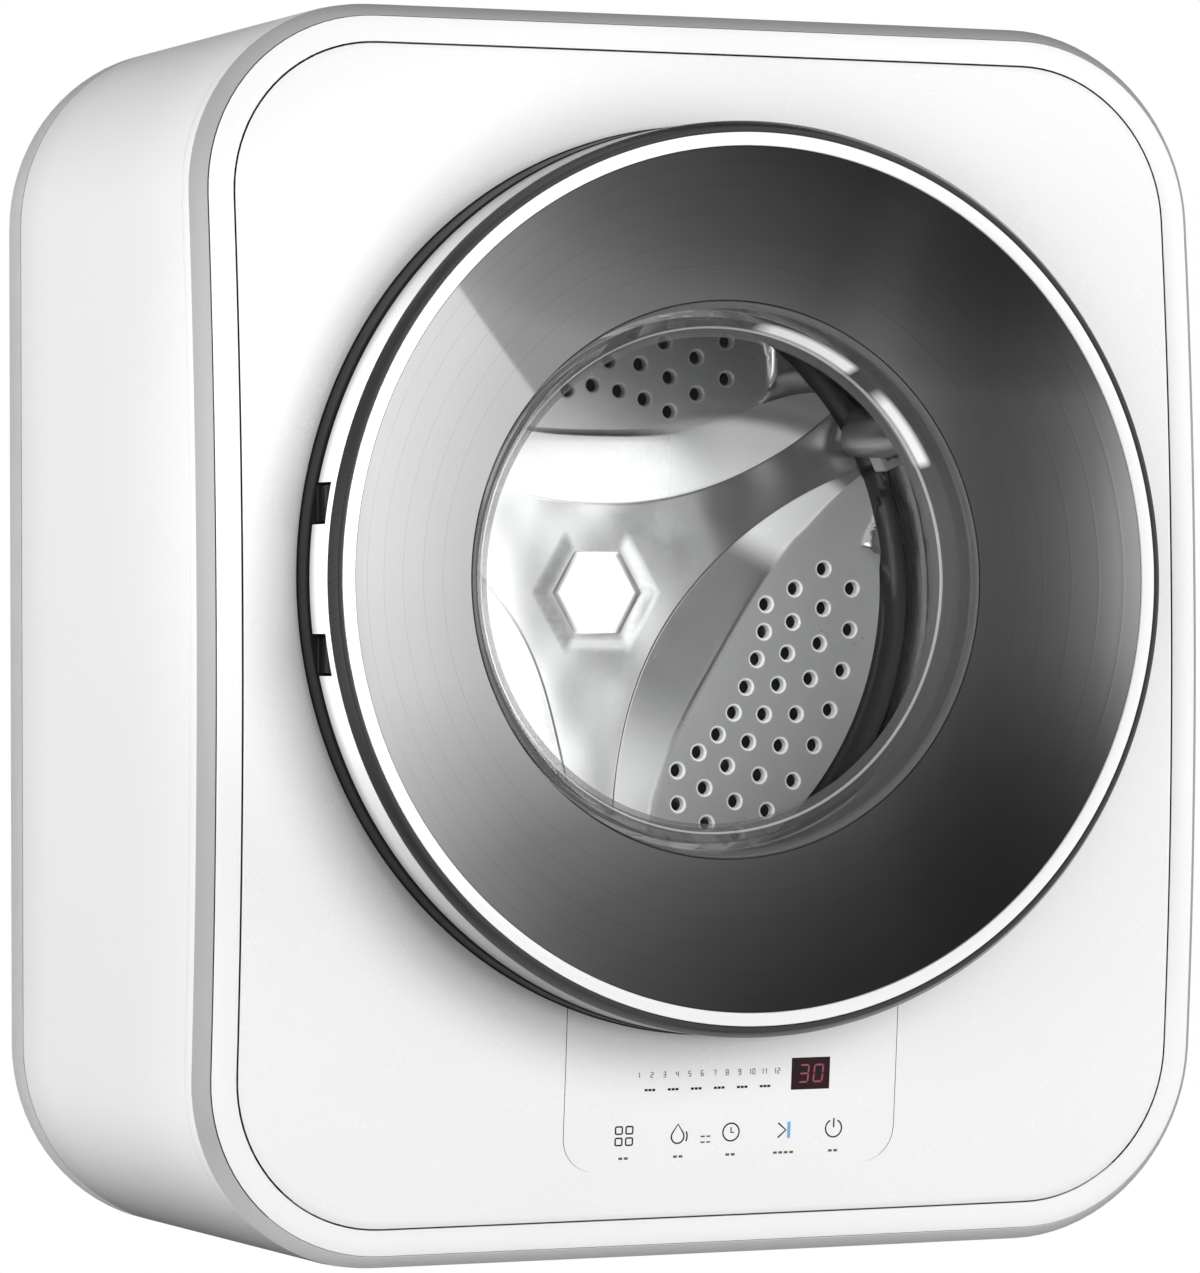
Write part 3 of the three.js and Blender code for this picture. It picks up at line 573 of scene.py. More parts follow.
def carve(ob, cutters, sharp=30.0):
    """Cuts the closed meshes (verts, faces) out of ob and keeps the result in its mesh."""
    made = [temp(*c) for c in cutters]
    for c in made:
        md = ob.modifiers.new("cut", "BOOLEAN")
        md.operation, md.solver, md.object = "DIFFERENCE", "EXACT", c
    dg = bpy.context.evaluated_depsgraph_get()
    me = bpy.data.meshes.new_from_object(ob.evaluated_get(dg))
    old = ob.data
    name = old.name
    ob.modifiers.clear()
    ob.data = me
    bpy.data.meshes.remove(old)
    me.name = name
    for c in made:
        d = c.data
        bpy.data.objects.remove(c)
        bpy.data.meshes.remove(d)
    me.polygons.foreach_set("use_smooth", [True] * len(me.polygons))
    me.set_sharp_from_angle(angle=math.radians(sharp))
    return ob


def rod(x, z, r, d0, d1, n=48):
    """Cylinder along the depth."""
    v = [(x + r * math.cos(2 * math.pi * i / n), d, z + r * math.sin(2 * math.pi * i / n)) for d in (d0, d1) for i in range(n)]
    f = [tuple(range(n)), tuple(range(2 * n - 1, n - 1, -1))] + [(i, n + i, n + (i + 1) % n, (i + 1) % n) for i in range(n)]
    return v, f


def column(x, d, r, z0, z1, n=48):
    """Cylinder along Z."""
    v = [(x + r * math.cos(2 * math.pi * i / n), d + r * math.sin(2 * math.pi * i / n), z) for z in (z0, z1) for i in range(n)]
    f = [tuple(range(n)), tuple(range(2 * n - 1, n - 1, -1))] + [(i, n + i, n + (i + 1) % n, (i + 1) % n) for i in range(n)]
    return v, f


def bevel(ob, width, segments=2, angle=35):
    md = ob.modifiers.new("edge", "BEVEL")
    md.width, md.segments, md.limit_method, md.angle_limit = width / 1000.0, segments, "ANGLE", math.radians(angle)
    md.harden_normals = False
    return ob


# ---- cabinet --------------------------------------------------------------------------------------
LID = (-150.0, -50.0, 70.0, 130.0)
PORTS = {"inlet": (150.0, 245.0, 13.6), "drain": (-100.0, 242.0, 13.6), "cord": (10.0, 250.0, 10.6)}


def make_cabinet():
    wrap = rim("cabinet_wrap_skin", [(-0.75, 10.35, 0.5), (0.0, 18.3, 0.25), (-0.5, 18.6, 0.1), (-0.5, 19.1, 0.1), (0.0, 19.4, 0.25), (0.0, 90.0), (0.0, 170.0), (0.0, 230.0),
                                     (0.0, 271.2, 0.8), (-2.5, 271.6, 0.4), (-2.5, 230.0), (-2.5, 170.0), (-2.5, 90.0), (-2.5, 10.4, 0.3)],
               WHITE_SIDE, "cabinet", "white_shell", ("cabinet_wrap",), seg=3)
    x0, x1, y0, y1 = LID
    lid_hole = boxmesh(x0 - 0.7, x1 + 0.7, y0 - 0.7, y1 + 1.0, 290, 312)
    carve(wrap, [lid_hole] + [column(x, d, r, -312, -288) for x, d, r in PORTS.values()])
    # painted shadow: the fine seam behind the band is painted near-black
    wrap.data.materials.append(SEAM_SHADE)
    for p in wrap.data.polygons:
        c = p.center * 1000.0
        if 18.5 < c.y - APEX_Y - dome(c.x, c.z) * follow(18.85) < 19.2:
            p.material_index = len(wrap.data.materials) - 1
    rim("trim_band_ring", [(-6.65, 0.0, 0.3), (0.0, 10.0, 0.5), (-2.5, 10.2, 0.2), (-6.65, 3.6, 0.2)], GREY, "cabinet", "trim_grey", ("trim_band",), seg=3)
    rim("front_border", [(-6.85, 0.0, 0.35), (-19.15, 0.0, 0.45), (-19.15, 2.5, 0.2), (-6.85, 2.5, 0.2)], BORDER, "cabinet", "white_shell", ("front_frame",), seg=3)
    # painted shadow in the walls of the border's seam
    dark_walls(bpy.data.objects["front_border"], 0.2)
    # rear cover: tray wall, flat back with ribs pressed in
    v, f = [], []
    outer = [(0.0, 272.0), (0.0, 289.6), (-0.35, 290.9), (-1.3, 292.2), (-2.6, 292.9), (-4.0, 293.0), (-30.0, 293.0)]
    loops = [[(x, d, z) for x, z in outline(o)] for o, d in outer]
    k = len(loops[0])
    inner = [(-4.0, 272.0), (-4.0, 289.4), (-30.0, 290.0)]
    loops2 = [[(x, d, z) for x, z in outline(o)] for o, d in inner]
    allv = [p for l in loops for p in l] + [(0, 293.0, 0)] + [p for l in loops2 for p in l] + [(0, 290.0, 0)]
    m = len(loops)
    for j in range(m - 1):
        for i in range(k):
            i2 = (i + 1) % k
            f.append((j * k + i, j * k + i2, (j + 1) * k + i2, (j + 1) * k + i))
    c = m * k
    for i in range(k):
        f.append(((m - 1) * k + i, (m - 1) * k + (i + 1) % k, c))
    b = c + 1
    for j in range(len(loops2) - 1):
        for i in range(k):
            i2 = (i + 1) % k
            f.append((b + j * k + i2, b + j * k + i, b + (j + 1) * k + i, b + (j + 1) * k + i2))
    c2 = b + len(loops2) * k
    for i in range(k):
        f.append((b + (len(loops2) - 1) * k + (i + 1) % k, b + (len(loops2) - 1) * k + i, c2))
        f.append((i, b + i, b + (i + 1) % k, (i + 1) % k))
    cover = add("rear_cover_tray", allv, f, COVER, "cabinet", "cover_grey", ("rear_cover",))
    cut = [rod(i * 150.0, j * 150.0, 4.6, 280, 300, 32) for i in (1, -1) for j in (1, -1)]
    # ventilation slots near the top and bottom of the back
    for zc in (252.0, -252.0):
        for q in range(-6, 7):
            cut.append(boxmesh(q * 16.0 - 5.5, q * 16.0 + 5.5, 286, 300, zc - 1.6, zc + 1.6))
    carve(cover, cut)
    for s, z0 in ((1, 222.0), (-1, -246.0)):
        rib_v, rib_f = boxmesh(-120, 120, 284.0, 289.9, z0, z0 + 24)
        rib = add("cover_rib_%s" % ("upper" if s > 0 else "lower"), rib_v, rib_f, COVER, "cabinet", "cover_grey")
        bevel(rib, 1.2, 3)


def make_panel():
    edge = outline(-19.85, arc=28)
    n = 384
    E = np.array(edge)
    E2 = np.roll(E, -1, axis=0)

    def reach(t):
        dx, dz = math.cos(t), math.sin(t)
        ex, ez = E2[:, 0] - E[:, 0], E2[:, 1] - E[:, 1]
        den = dx * ez - dz * ex
        with np.errstate(divide="ignore", invalid="ignore"):
            q = (E[:, 0] * ez - (E[:, 1] - DOOR_Z) * ex) / den
            w = (E[:, 0] * dz - (E[:, 1] - DOOR_Z) * dx) / den
        ok = (np.abs(den) > 1e-9) & (q > 0) & (w >= -1e-9) & (w <= 1 + 1e-9)
        return float(q[ok].min())

    R0 = 218.9
    reaches = [reach(2 * math.pi * i / n) for i in range(n)]
    fr = [0.0, 0.06, 0.14, 0.24, 0.36, 0.48, 0.6, 0.72, 0.83, 0.92, 0.97]

    def ring(fn, dd):
        out = []
        for i in range(n):
            t = 2 * math.pi * i / n
            q = fn(reaches[i])
            x, z = q * math.cos(t), DOOR_Z + q * math.sin(t)
            out.append((x, dome(x, z) + dd, z))
        return out

    loops = [ring(lambda r: R0, 0.5), ring(lambda r: R0 + 0.15, 0.15), ring(lambda r: R0 + 0.5, 0.0)]
    loops += [ring(lambda r, g=g: R0 + 0.5 + (r - 0.55 - R0 - 0.5) * g, 0.0) for g in fr[1:]]
    loops += [ring(lambda r: r - 0.5, 0.0), ring(lambda r: r - 0.15, 0.15), ring(lambda r: r, 0.5), ring(lambda r: r, 2.5), ring(lambda r: R0, 2.5)]
    v, f = loft(loops)
    panel = add("front_panel_skin", v, f, WHITE_PANEL, "cabinet", "white_shell", ("front_panel",))

    def prism(o, top=-140.0):
        x0, x1, z0, c = -80.0 - o, 95.5 + o, -257.0, 17.0
        p = [(x0, top), (x0, z0 + c)]
        p += [(x0 + c - c * math.cos(math.pi / 20 * i), z0 + c - c * math.sin(math.pi / 20 * i)) for i in range(1, 10)]
        p += [(x0 + c, z0)]
        p += [(x1 - c + c * math.sin(math.pi / 20 * i), z0 + c - c * math.cos(math.pi / 20 * i)) for i in range(0, 11)]
        p += [(x1, top)]
        m = len(p)
        vv = [(x, d, z) for d in (-6, 24) for x, z in p]
        ff = [tuple(range(m)), tuple(range(2 * m - 1, m - 1, -1))] + [(i, m + i, m + (i + 1) % m, (i + 1) % m) for i in range(m)]
        return vv, ff

    # the lens is the same skin inside the outline, cut out with a hair gap
    lens = add("control_lens_skin", v, f, WHITE_PANEL, "cabinet", "white_shell", ("control_lens",))
    keep = temp(*prism(-0.17))
    md = lens.modifiers.new("keep", "BOOLEAN")
    md.operation, md.solver, md.object = "INTERSECT", "EXACT", keep
    carve(lens, [boxmesh(39.1, 59.7, -10, 40, -220.5, -204.9)])
    d = keep.data
    bpy.data.objects.remove(keep)
    bpy.data.meshes.remove(d)
    carve(panel, [prism(0.17)])
    # painted shadow in the walls of the cut round the lens
    dark_walls(panel, 0.12)
    dark_walls(lens, 0.12)

    # display window and its digits
    x0, x1, z0, z1 = 39.25, 59.55, -220.35, -205.05
    g = 9
    vv, ff = [], []
    for dd in (0.05, 2.4):
        for j in range(g):
            for i in range(g):
                x, z = x0 + (x1 - x0) * i / (g - 1), z0 + (z1 - z0) * j / (g - 1)
                vv.append((x, dome(x, z) + dd, z))
    for j in range(g - 1):
        for i in range(g - 1):
            a = j * g + i
            ff.append((a, a + 1, a + g + 1, a + g))
            ff.append((a + g * g, a + g * g + g, a + g * g + g + 1, a + g * g + 1))
    rimv = [i for i in range(g)] + [j * g + g - 1 for j in range(1, g)] + [(g - 1) * g + i for i in range(g - 2, -1, -1)] + [j * g for j in range(g - 2, 0, -1)]
    for q in range(len(rimv)):
        a, b = rimv[q], rimv[(q + 1) % len(rimv)]
        ff.append((a, a + g * g, b + g * g, b))
    add("display_pane", vv, ff, DISPLAY, "cabinet", "display_glass", ("display_window",))

    bars = {"a": ((0, 1), (1, 1)), "b": ((1, 1), (1, 0)), "c": ((1, 0), (1, -1)), "d": ((0, -1), (1, -1)), "e": ((0, 0), (0, -1)), "f": ((0, 1), (0, 0)), "g": ((0, 0), (1, 0))}
    sets = {"3": "abcdg", "0": "abcdef"}
    vv, ff = [], []
    w, h, t = 4.6, 4.1, 0.42
    for ch, cx in (("3", 43.6), ("0", 51.3)):
        for s in sets[ch]:
            (ax, az), (bx, bz) = bars[s]
            p, q = Vector((cx + ax * w, -212.7 + az * h)), Vector((cx + bx * w, -212.7 + bz * h))
            u = (q - p).normalized()
            nrm = Vector((-u.y, u.x))
            p, q = p + u * 0.55, q - u * 0.55
            poly = [p - u * t, p + nrm * t, q + nrm * t, q + u * t, q - nrm * t, p - nrm * t]
            base = len(vv)
            for dd in (-0.02, 0.05):
                vv += [(c.x + 0.08 * (c.y + 212.7), dome(c.x, c.y) + dd, c.y) for c in poly]
            ff += [tuple(base + i for i in range(6)), tuple(base + 11 - i for i in range(6))]
            ff += [(base + i, base + 6 + i, base + 6 + (i + 1) % 6, base + (i + 1) % 6) for i in range(6)]
    add("display_digits", vv, ff, DIGIT, "cabinet", "display_glass")


# ---- printed marks on the control lens ---------------------------------------------------------------
class Print:
    """Flat marks printed on the domed lens: strokes and polygons with a trace of thickness."""

    def __init__(self):
        self.v, self.f = [], []

    def poly(self, pts):
        b, n = len(self.v), len(pts)
        for dd in (-0.035, 0.02):
            self.v += [(x, dome(x, z) + dd, z) for x, z in pts]
        self.f += [tuple(b + i for i in range(n)), tuple(b + 2 * n - 1 - i for i in range(n))]
        self.f += [(b + i, b + n + i, b + n + (i + 1) % n, b + (i + 1) % n) for i in range(n)]

    def stroke(self, pts, w, closed=False):
        w = w * 1.5 if w < 0.6 else w
        n = len(pts)
        P = [Vector(p) for p in pts]
        L, R = [], []
        for i in range(n):
            a = P[i - 1] if (closed or i > 0) else P[i]
            b = P[(i + 1) % n] if (closed or i < n - 1) else P[i]
            u = (b - a).normalized()
            nrm = Vector((-u.y, u.x)) * w / 2
            L.append(P[i] + nrm)
            R.append(P[i] - nrm)
        for i in range(n if closed else n - 1):
            j = (i + 1) % n
            self.poly([tuple(L[i]), tuple(L[j]), tuple(R[j]), tuple(R[i])])

    def arc(self, cx, cz, r, a0, a1, w, n=28):
        full = abs(a1 - a0) >= 359.9
        k = n if full else n + 1
        self.stroke([(cx + r * math.cos(math.radians(a0 + (a1 - a0) * i / n)), cz + r * math.sin(math.radians(a0 + (a1 - a0) * i / n))) for i in range(k)], w, full)

    def make(self, name, mat):
        return add(name, self.v, self.f, mat, "cabinet", "white_shell")


SEG7 = {"0": "abcdef", "1": "bc", "2": "abged", "3": "abgcd", "4": "fgbc", "5": "afgcd", "6": "afgedc", "7": "abc", "8": "abcdefg", "9": "abcdfg"}


def digit(pr, ch, cx, cz, w, h, t):
    """A plain number drawn with straight strokes, centred on (cx, cz)."""
    c = {"a": ((-1, 1), (1, 1)), "b": ((1, 1), (1, 0)), "c": ((1, 0), (1, -1)), "d": ((-1, -1), (1, -1)), "e": ((-1, 0), (-1, -1)), "f": ((-1, 1), (-1, 0)), "g": ((-1, 0), (1, 0))}
    if ch == "1":
        pr.stroke([(cx - w * 0.25, cz + h * 0.3), (cx + w * 0.1, cz + h / 2), (cx + w * 0.1, cz - h / 2)], t)
        return
    for s in SEG7[ch]:
        (ax, az), (bx, bz) = c[s]
        pr.stroke([(cx + ax * w / 2, cz + az * h / 2), (cx + bx * w / 2, cz + bz * h / 2)], t)


def make_marks():
    pr, soft, blue = Print(), Print(), Print()
    # programme numbers 1 to 12 with a dash below each
    for i in range(12):
        x = -41.5 + 72.8 * i / 11
        s = str(i + 1)
        for k, ch in enumerate(s):
            digit(soft, ch, x + (k - (len(s) - 1) / 2) * 1.75, -210.9, 1.15, 2.5, 0.26)
    for i in range(6):
        x = -35.7 + 60.9 * i / 5
        for k in (-1, 0, 1):
            pr.stroke([(x + k * 2.0 - 0.8, -218.2), (x + k * 2.0 + 0.8, -218.2)], 1.15)
    zc = -240.0
    # four squares
    for dx in (-2.75, 2.75):
        for dz in (-2.75, 2.75):
            cx, cz, a, c = -48.4 + dx, zc + dz, 1.75, 0.6
            pts = []
            for q, (sx, sz) in enumerate(((1, 1), (-1, 1), (-1, -1), (1, -1))):
                for i in range(4):
                    t = math.radians(90 * q + 30 * i)
                    pts.append((cx + sx * (a - c) + c * math.cos(t), cz + sz * (a - c) + c * math.sin(t)))
            pr.stroke(pts, 0.5, True)
    # drop with a small arc
    cx = -20.2
    pts = [(cx, zc + 4.9)]
    for i in range(19):
        t = math.radians(28 - (28 + 180 + 28) * i / 18)
        pts.append((cx + 3.3 * math.cos(t), zc - 1.2 + 3.3 * math.sin(t)))
    pr.stroke(pts, 0.5, True)
    pr.arc(cx, zc - 1.2, 5.0, -28, 28, 0.5, 8)
    # clock
    cx = 8.0
    pr.arc(cx, zc, 4.3, 0, 360, 0.5)
    pr.stroke([(cx, zc + 2.4), (cx, zc - 0.2), (cx + 1.6, zc - 0.2)], 0.45)
    # small marks between
    for q in (-1.4, 1.4):
        soft.stroke([(-8.0, -243.0 + q), (-5.8, -243.0 + q)], 0.5)
        soft.stroke([(-4.9, -243.0 + q), (-2.9, -243.0 + q)], 0.5)
    # run and pause
    cx = 36.3
    pr.stroke([(cx - 3.2, zc + 3.6), (cx + 1.0, zc), (cx - 3.2, zc - 3.6)], 0.55)
    blue.stroke([(cx + 2.6, zc + 4.0), (cx + 2.6, zc - 4.0)], 1.7)
    # power
    cx = 63.0
    pr.arc(cx, zc, 4.3, 118, 422, 0.5, 30)
    pr.stroke([(cx, zc + 5.0), (cx, zc + 0.4)], 0.5)
    # dashes where each key's name would be
    for x, n in ((-48.4, 2), (-19.7, 2), (8.0, 2), (36.3, 4), (63.0, 2)):
        for k in range(n):
            xx = x + (k - (n - 1) / 2) * 2.9
            soft.stroke([(xx - 1.0, -250.9), (xx + 1.0, -250.9)], 1.15)
    pr.make("key_symbols", INK)
    soft.make("key_dashes", INK_SOFT)
    blue.make("run_bar", INK_BLUE)


make_cabinet()
make_panel()
make_marks()


# ---- base ring, hinge, lock -----------------------------------------------------------------------
def make_base():
    ring = turned("base_ring_black", [(218.5, -8, 1.0), (218.5, 20, 0.5), (216, 20, 0.4), (216, -5, 0.5), (160, -5, 0.5), (160, 4, 0.4), (156.8, 4, 0.4), (156.8, -8, 1.2)],
                  BLACK, "cabinet", "black_plastic", cz=DOOR_Z, n=320, replaces=("base_ring",))
    carve(ring, [boxmesh(174, 197, -12, 0, DOOR_Z - 7, DOOR_Z + 7)])
    for nm, s in (("upper", 1), ("lower", -1)):
        z0, z1 = sorted((DOOR_Z + s * 26.8, DOOR_Z + s * 43.6))
        v, f = [], []

        def put(part):
            b = len(v)
            v.extend(part[0])
            f.extend(tuple(b + i for i in q) for q in part[1])

        n = 40
        tube_v = [(HINGE_X + r * math.cos(2 * math.pi * i / n), HINGE_Y + r * math.sin(2 * math.pi * i / n), z)
                  for r, z in ((5.0, z0 + 0.5), (5.0, z1 - 0.5), (4.5, z1), (3.1, z1), (3.1, z0), (4.5, z0)) for i in range(n)]
        tube_f = [(j * n + i, j * n + (i + 1) % n, ((j + 1) % 6) * n + (i + 1) % n, ((j + 1) % 6) * n + i) for j in range(6) for i in range(n)]
        put((tube_v, tube_f))
        put(boxmesh(HINGE_X - 2, HINGE_X + 2, HINGE_Y + 3.6, -8.9, z0, z1))
        put(boxmesh(HINGE_X - 4, HINGE_X + 7.2, -10, -8.3, z0, z1))
        br = add("hinge_knuckle_" + nm, v, f, BLACK, "cabinet", "black_plastic", ("hinge_bracket_" + nm,))
        bevel(br, 0.35, 2)


make_base()


# ---- door -----------------------------------------------------------------------------------------
def make_door():
    turned("door_ring_white", [(205.8, -40, 0.7), (212.2, -40, 0.5), (212.2, -36, 0.3), (205.8, -36, 0.3)], RING_WHITE, "door", "white_shell", cz=DOOR_Z, n=384, replaces=("door_front_ring",))
    turned("door_ring_dark", [(212.5, -39.9, 0.25), (214.9, -39.9, 0.4), (218.0, -34.3, 0.3), (208.0, -34.3, 0.2), (208.0, -35.7, 0.2), (212.5, -35.7, 0.2)], DARK, "door", "dark_metal", cz=DOOR_Z, n=384, replaces=("door_dark_ring",))
    side = turned("door_wall_white", [(218, -34, 0.5), (218, -11.6, 0.8), (213.5, -10, 0.6), (203, -10, 0.3), (203, -12.2, 0.2), (213, -12.2, 0.5), (215.2, -13.5, 0.5), (215.2, -34, 0.3)],
                  RING_WALL, "door", "white_shell", cz=DOOR_Z, n=384, replaces=("door_side_ring",))
    carve(side, [boxmesh(-225, -195, -28.5, -5, DOOR_Z + 25.4, DOOR_Z + 45), boxmesh(-225, -195, -28.5, -5, DOOR_Z - 45, DOOR_Z - 25.4), boxmesh(200, 225, -27, -15, DOOR_Z - 36, DOOR_Z + 36)])
    bevel(side, 0.25, 2, 50)
    # finger pull
    v, f = boxmesh(203.8, 214.6, -26.7, -15.3, DOOR_Z - 35.7, DOOR_Z + 35.7)
    cup = add("finger_pull_cup", v, f, BLACK, "door", "black_plastic", ("door_grip_cup",))
    carve(cup, [boxmesh(205.8, 216, -24.7, -17.3, DOOR_Z - 33.7, DOOR_Z + 33.7)])
    bevel(cup, 0.5, 3)

    # funnel: a gently curved dish with fine turned grooves
    s1 = 0.335
    s2 = (32.9 - s1 * 71.1) / 71.1 ** 2

    def depth(r):
        q = r - 134.3
        return -5.9 - s1 * q - s2 * q * q

    prof = []
    grooves = (151.0, 163.0, 175.5, 187.5, 198.0)
    stops = set([round(134.3 + 71.1 * i / 60, 3) for i in range(61)])
    for g in grooves:
        stops = {q for q in stops if abs(q - g) > 0.9}
        stops |= {g - 0.45, g - 0.2, g, g + 0.2, g + 0.45}
    for q in sorted(stops, reverse=True):
        dd = depth(q)
        for g in grooves:
            if abs(q - g) < 0.1:
                dd += 0.008
            elif abs(q - g) < 0.3:
                dd += 0.004
        prof.append((q, dd))
    back = [(134.3, depth(134.3) + 2.0), (150, depth(150) + 2.0), (162, depth(162) + 2.0), (174, depth(174) + 2.0), (186, depth(186) + 2.0), (196, depth(196) + 2.0), (205.4, depth(205.4) + 2.0)]
    funnel = turned("door_funnel", prof + back, DISH, "door", "smoked_plastic", cz=DOOR_Z, n=384, replaces=("door_window_cone",), sharp=40)
    # painted shade: the faces at the grooves take the darker copy of the lacquer
    funnel.data.materials.append(DISH_GROOVE)
    for p in funnel.data.polygons:
        r = math.hypot(p.center.x, p.center.z - DOOR_Z / 1000.0) * 1000.0
        if p.normal.y < 0 and min(abs(r - g) for g in grooves) < 0.3:
            p.material_index = 1

    # bowl
    floor = [(118.0 * i / 10.0, 16.6 - 1.1 * (i / 10.0) ** 2) for i in range(0, 10)]
    floor_back = [(120.0 * i / 10.0, 19.5 - 0.9 * (i / 10.0) ** 2) for i in range(9, -1, -1)]
    front = [(117.6, 15.5, 3.5), (122.2, 12.2, 3.0), (129.3, -5.6, 1.5), (130.2, -6.6, 0.5), (133.7, -6.6, 0.8), (133.9, -2.5, 0.4), (141, -2.3, 0.8), (141, 0.7, 0.8), (132.6, 0.7, 2.5), (126.4, 15.2, 3.5), (120.6, 19.2, 3.0)]
    bowl = turned("door_bowl", floor + front + floor_back, GLASS, "door", "clear_glass", cz=DOOR_Z, n=256, replaces=("door_glass_bowl",), sharp=50)
    bowl.data.materials.append(GLASS_WALL)
    bowl.data.materials.append(GLASS_EDGE)
    for p in bowl.data.polygons:
        r, d = math.hypot(p.center.x, p.center.z - DOOR_Z / 1000.0) * 1000.0, p.center.y * 1000.0 - APEX_Y
        if r > 117.5:
            p.material_index = 1
        if 120.7 < r < 122.6 and p.normal.y < -0.15 and d < 15.0:
            p.material_index = 2

    frame_ring = turned("door_back_frame", [(202.7, -12, 0.4), (156, -12, 2.5), (146, -7.3, 2.5), (141.4, -2, 0.8), (141.4, 1, 0.3), (133, 1, 0.3), (133, 3.2, 0.8), (143.6, 3.2, 2.0), (149, -6, 2.5), (157, -10, 2.5), (202.7, -10, 0.6)],
                        PLASTIC, "door", "white_plastic", cz=DOOR_Z, n=256, replaces=("door_inner_frame",))
    carve(frame_ring, [boxmesh(176, 194, -13, -9, DOOR_Z - 6, DOOR_Z + 6)])
    for nm, z0, z1 in (("upper", 6.4, 9.0), ("lower", -9.0, -6.4)):
        v, f = boxmesh(180.5, 189.5, -23.5, -11.9, DOOR_Z + z0, DOOR_Z + z1)
        ear = add("hook_ear_" + nm, v, f, PLASTIC, "door", "white_plastic")
        carve(ear, [column(185, -19, 2.3, DOOR_Z - 12, DOOR_Z + 12, 24)])
        bevel(ear, 0.3, 2)
    # eight screws hold the back frame
    for i in range(8):
        t = math.radians(22.5 + 45 * i)
        cx, cz = 179.0 * math.cos(t), DOOR_Z + 179.0 * math.sin(t)
        turned("door_screw_%d" % (i + 1), [(0, -9.35, 0), (1.4, -9.3, 0), (1.5, -8.9, 0.1), (3.2, -8.9, 0.5), (3.4, -9.95, 0.1), (0, -9.95, 0)], BRIGHT, "door", "bright_steel", cx=cx, cz=cz, n=28, closed=True)
    # hinge block and pin
    v, f = boxmesh(-212.4, -196, -28, -13.6, DOOR_Z - 24.5, DOOR_Z + 24.5)
    blk = add("hinge_block_body", v, f, DARK, "door", "dark_metal", ("hinge_block",))
    carve(blk, [column(HINGE_X, HINGE_Y, 2.8, DOOR_Z - 30, DOOR_Z + 30, 32)])
    bevel(blk, 0.6, 2, 50)
    n = 36
    v = [(HINGE_X + r * math.cos(2 * math.pi * i / n), HINGE_Y + r * math.sin(2 * math.pi * i / n), DOOR_Z + z) for r, z in ((2.0, -44.6), (2.5, -44.0), (2.5, 44.0), (2.0, 44.6)) for i in range(n)]
    f = [(j * n + i, j * n + (i + 1) % n, (j + 1) * n + (i + 1) % n, (j + 1) * n + i) for j in range(3) for i in range(n)] + [tuple(range(n)), tuple(range(4 * n - 1, 3 * n - 1, -1))]
    add("hinge_pin_rod", v, f, BRIGHT, "door", "bright_steel", ("hinge_pin",))


make_door()


# ---- drum -----------------------------------------------------------------------------------------
LEAF = 150.0
# one pattern of holes per leaf, (across, outward) from the drum's axis
HOLES_R = [(72.4, 101.4), (71.7, 120.2), (55.7, 92.5), (40.8, 82.7), (55.1, 111.4), (40.5, 100.2), (53, 129.9), (28.2, 88.8), (38.5, 118.7), (25.2, 105.6), (14.1, 92.3), (32.9, 136.9),
           (20.4, 123.3), (8.8, 109.2), (-1.1, 94.1), (12, 140.8), (0.8, 125.4), (-8.2, 109.8), (-15.8, 94.6), (-29.9, 92.3), (-24.8, 109), (-17.5, 125.6), (-8, 142), (-43.1, 87.3), (-41.2, 104.6),
           (-36.5, 122.7), (-29.6, 140.7), (-56.9, 81.4), (-57.2, 98.9), (-54.8, 117.1), (-50.1, 135.2), (-71.7, 89.9), (-72.3, 108.7), (-69, 126.5)]
HOLES_T = [(-69.8, 127.3), (-53.4, 118.9), (-36.1, 126.2), (-69.7, 108.3), (-53.4, 100.5), (-38.6, 108.8), (-22.6, 115.1), (-5.7, 116.5), (-38.5, 91.4), (-24.9, 97.6), (-11.0, 101.6), (3.5, 104.3),
           (17.3, 101.6), (-18.5, 131.0), (0.2, 132.6), (11.2, 117.0), (17.5, 132.4), (27.5, 113.0), (32.0, 97.4), (34.0, 128.0), (43.0, 106.0), (47.5, 92.6), (49.5, 121.0), (58.5, 99.5), (64.5, 113.5),
           (73.0, 103.5), (78.5, 117.5), (65.0, 129.0), (-51.0, 136.0), (-32.0, 142.0), (-9.5, 145.8), (12.0, 146.2), (33.5, 142.4), (52.0, 136.0)]
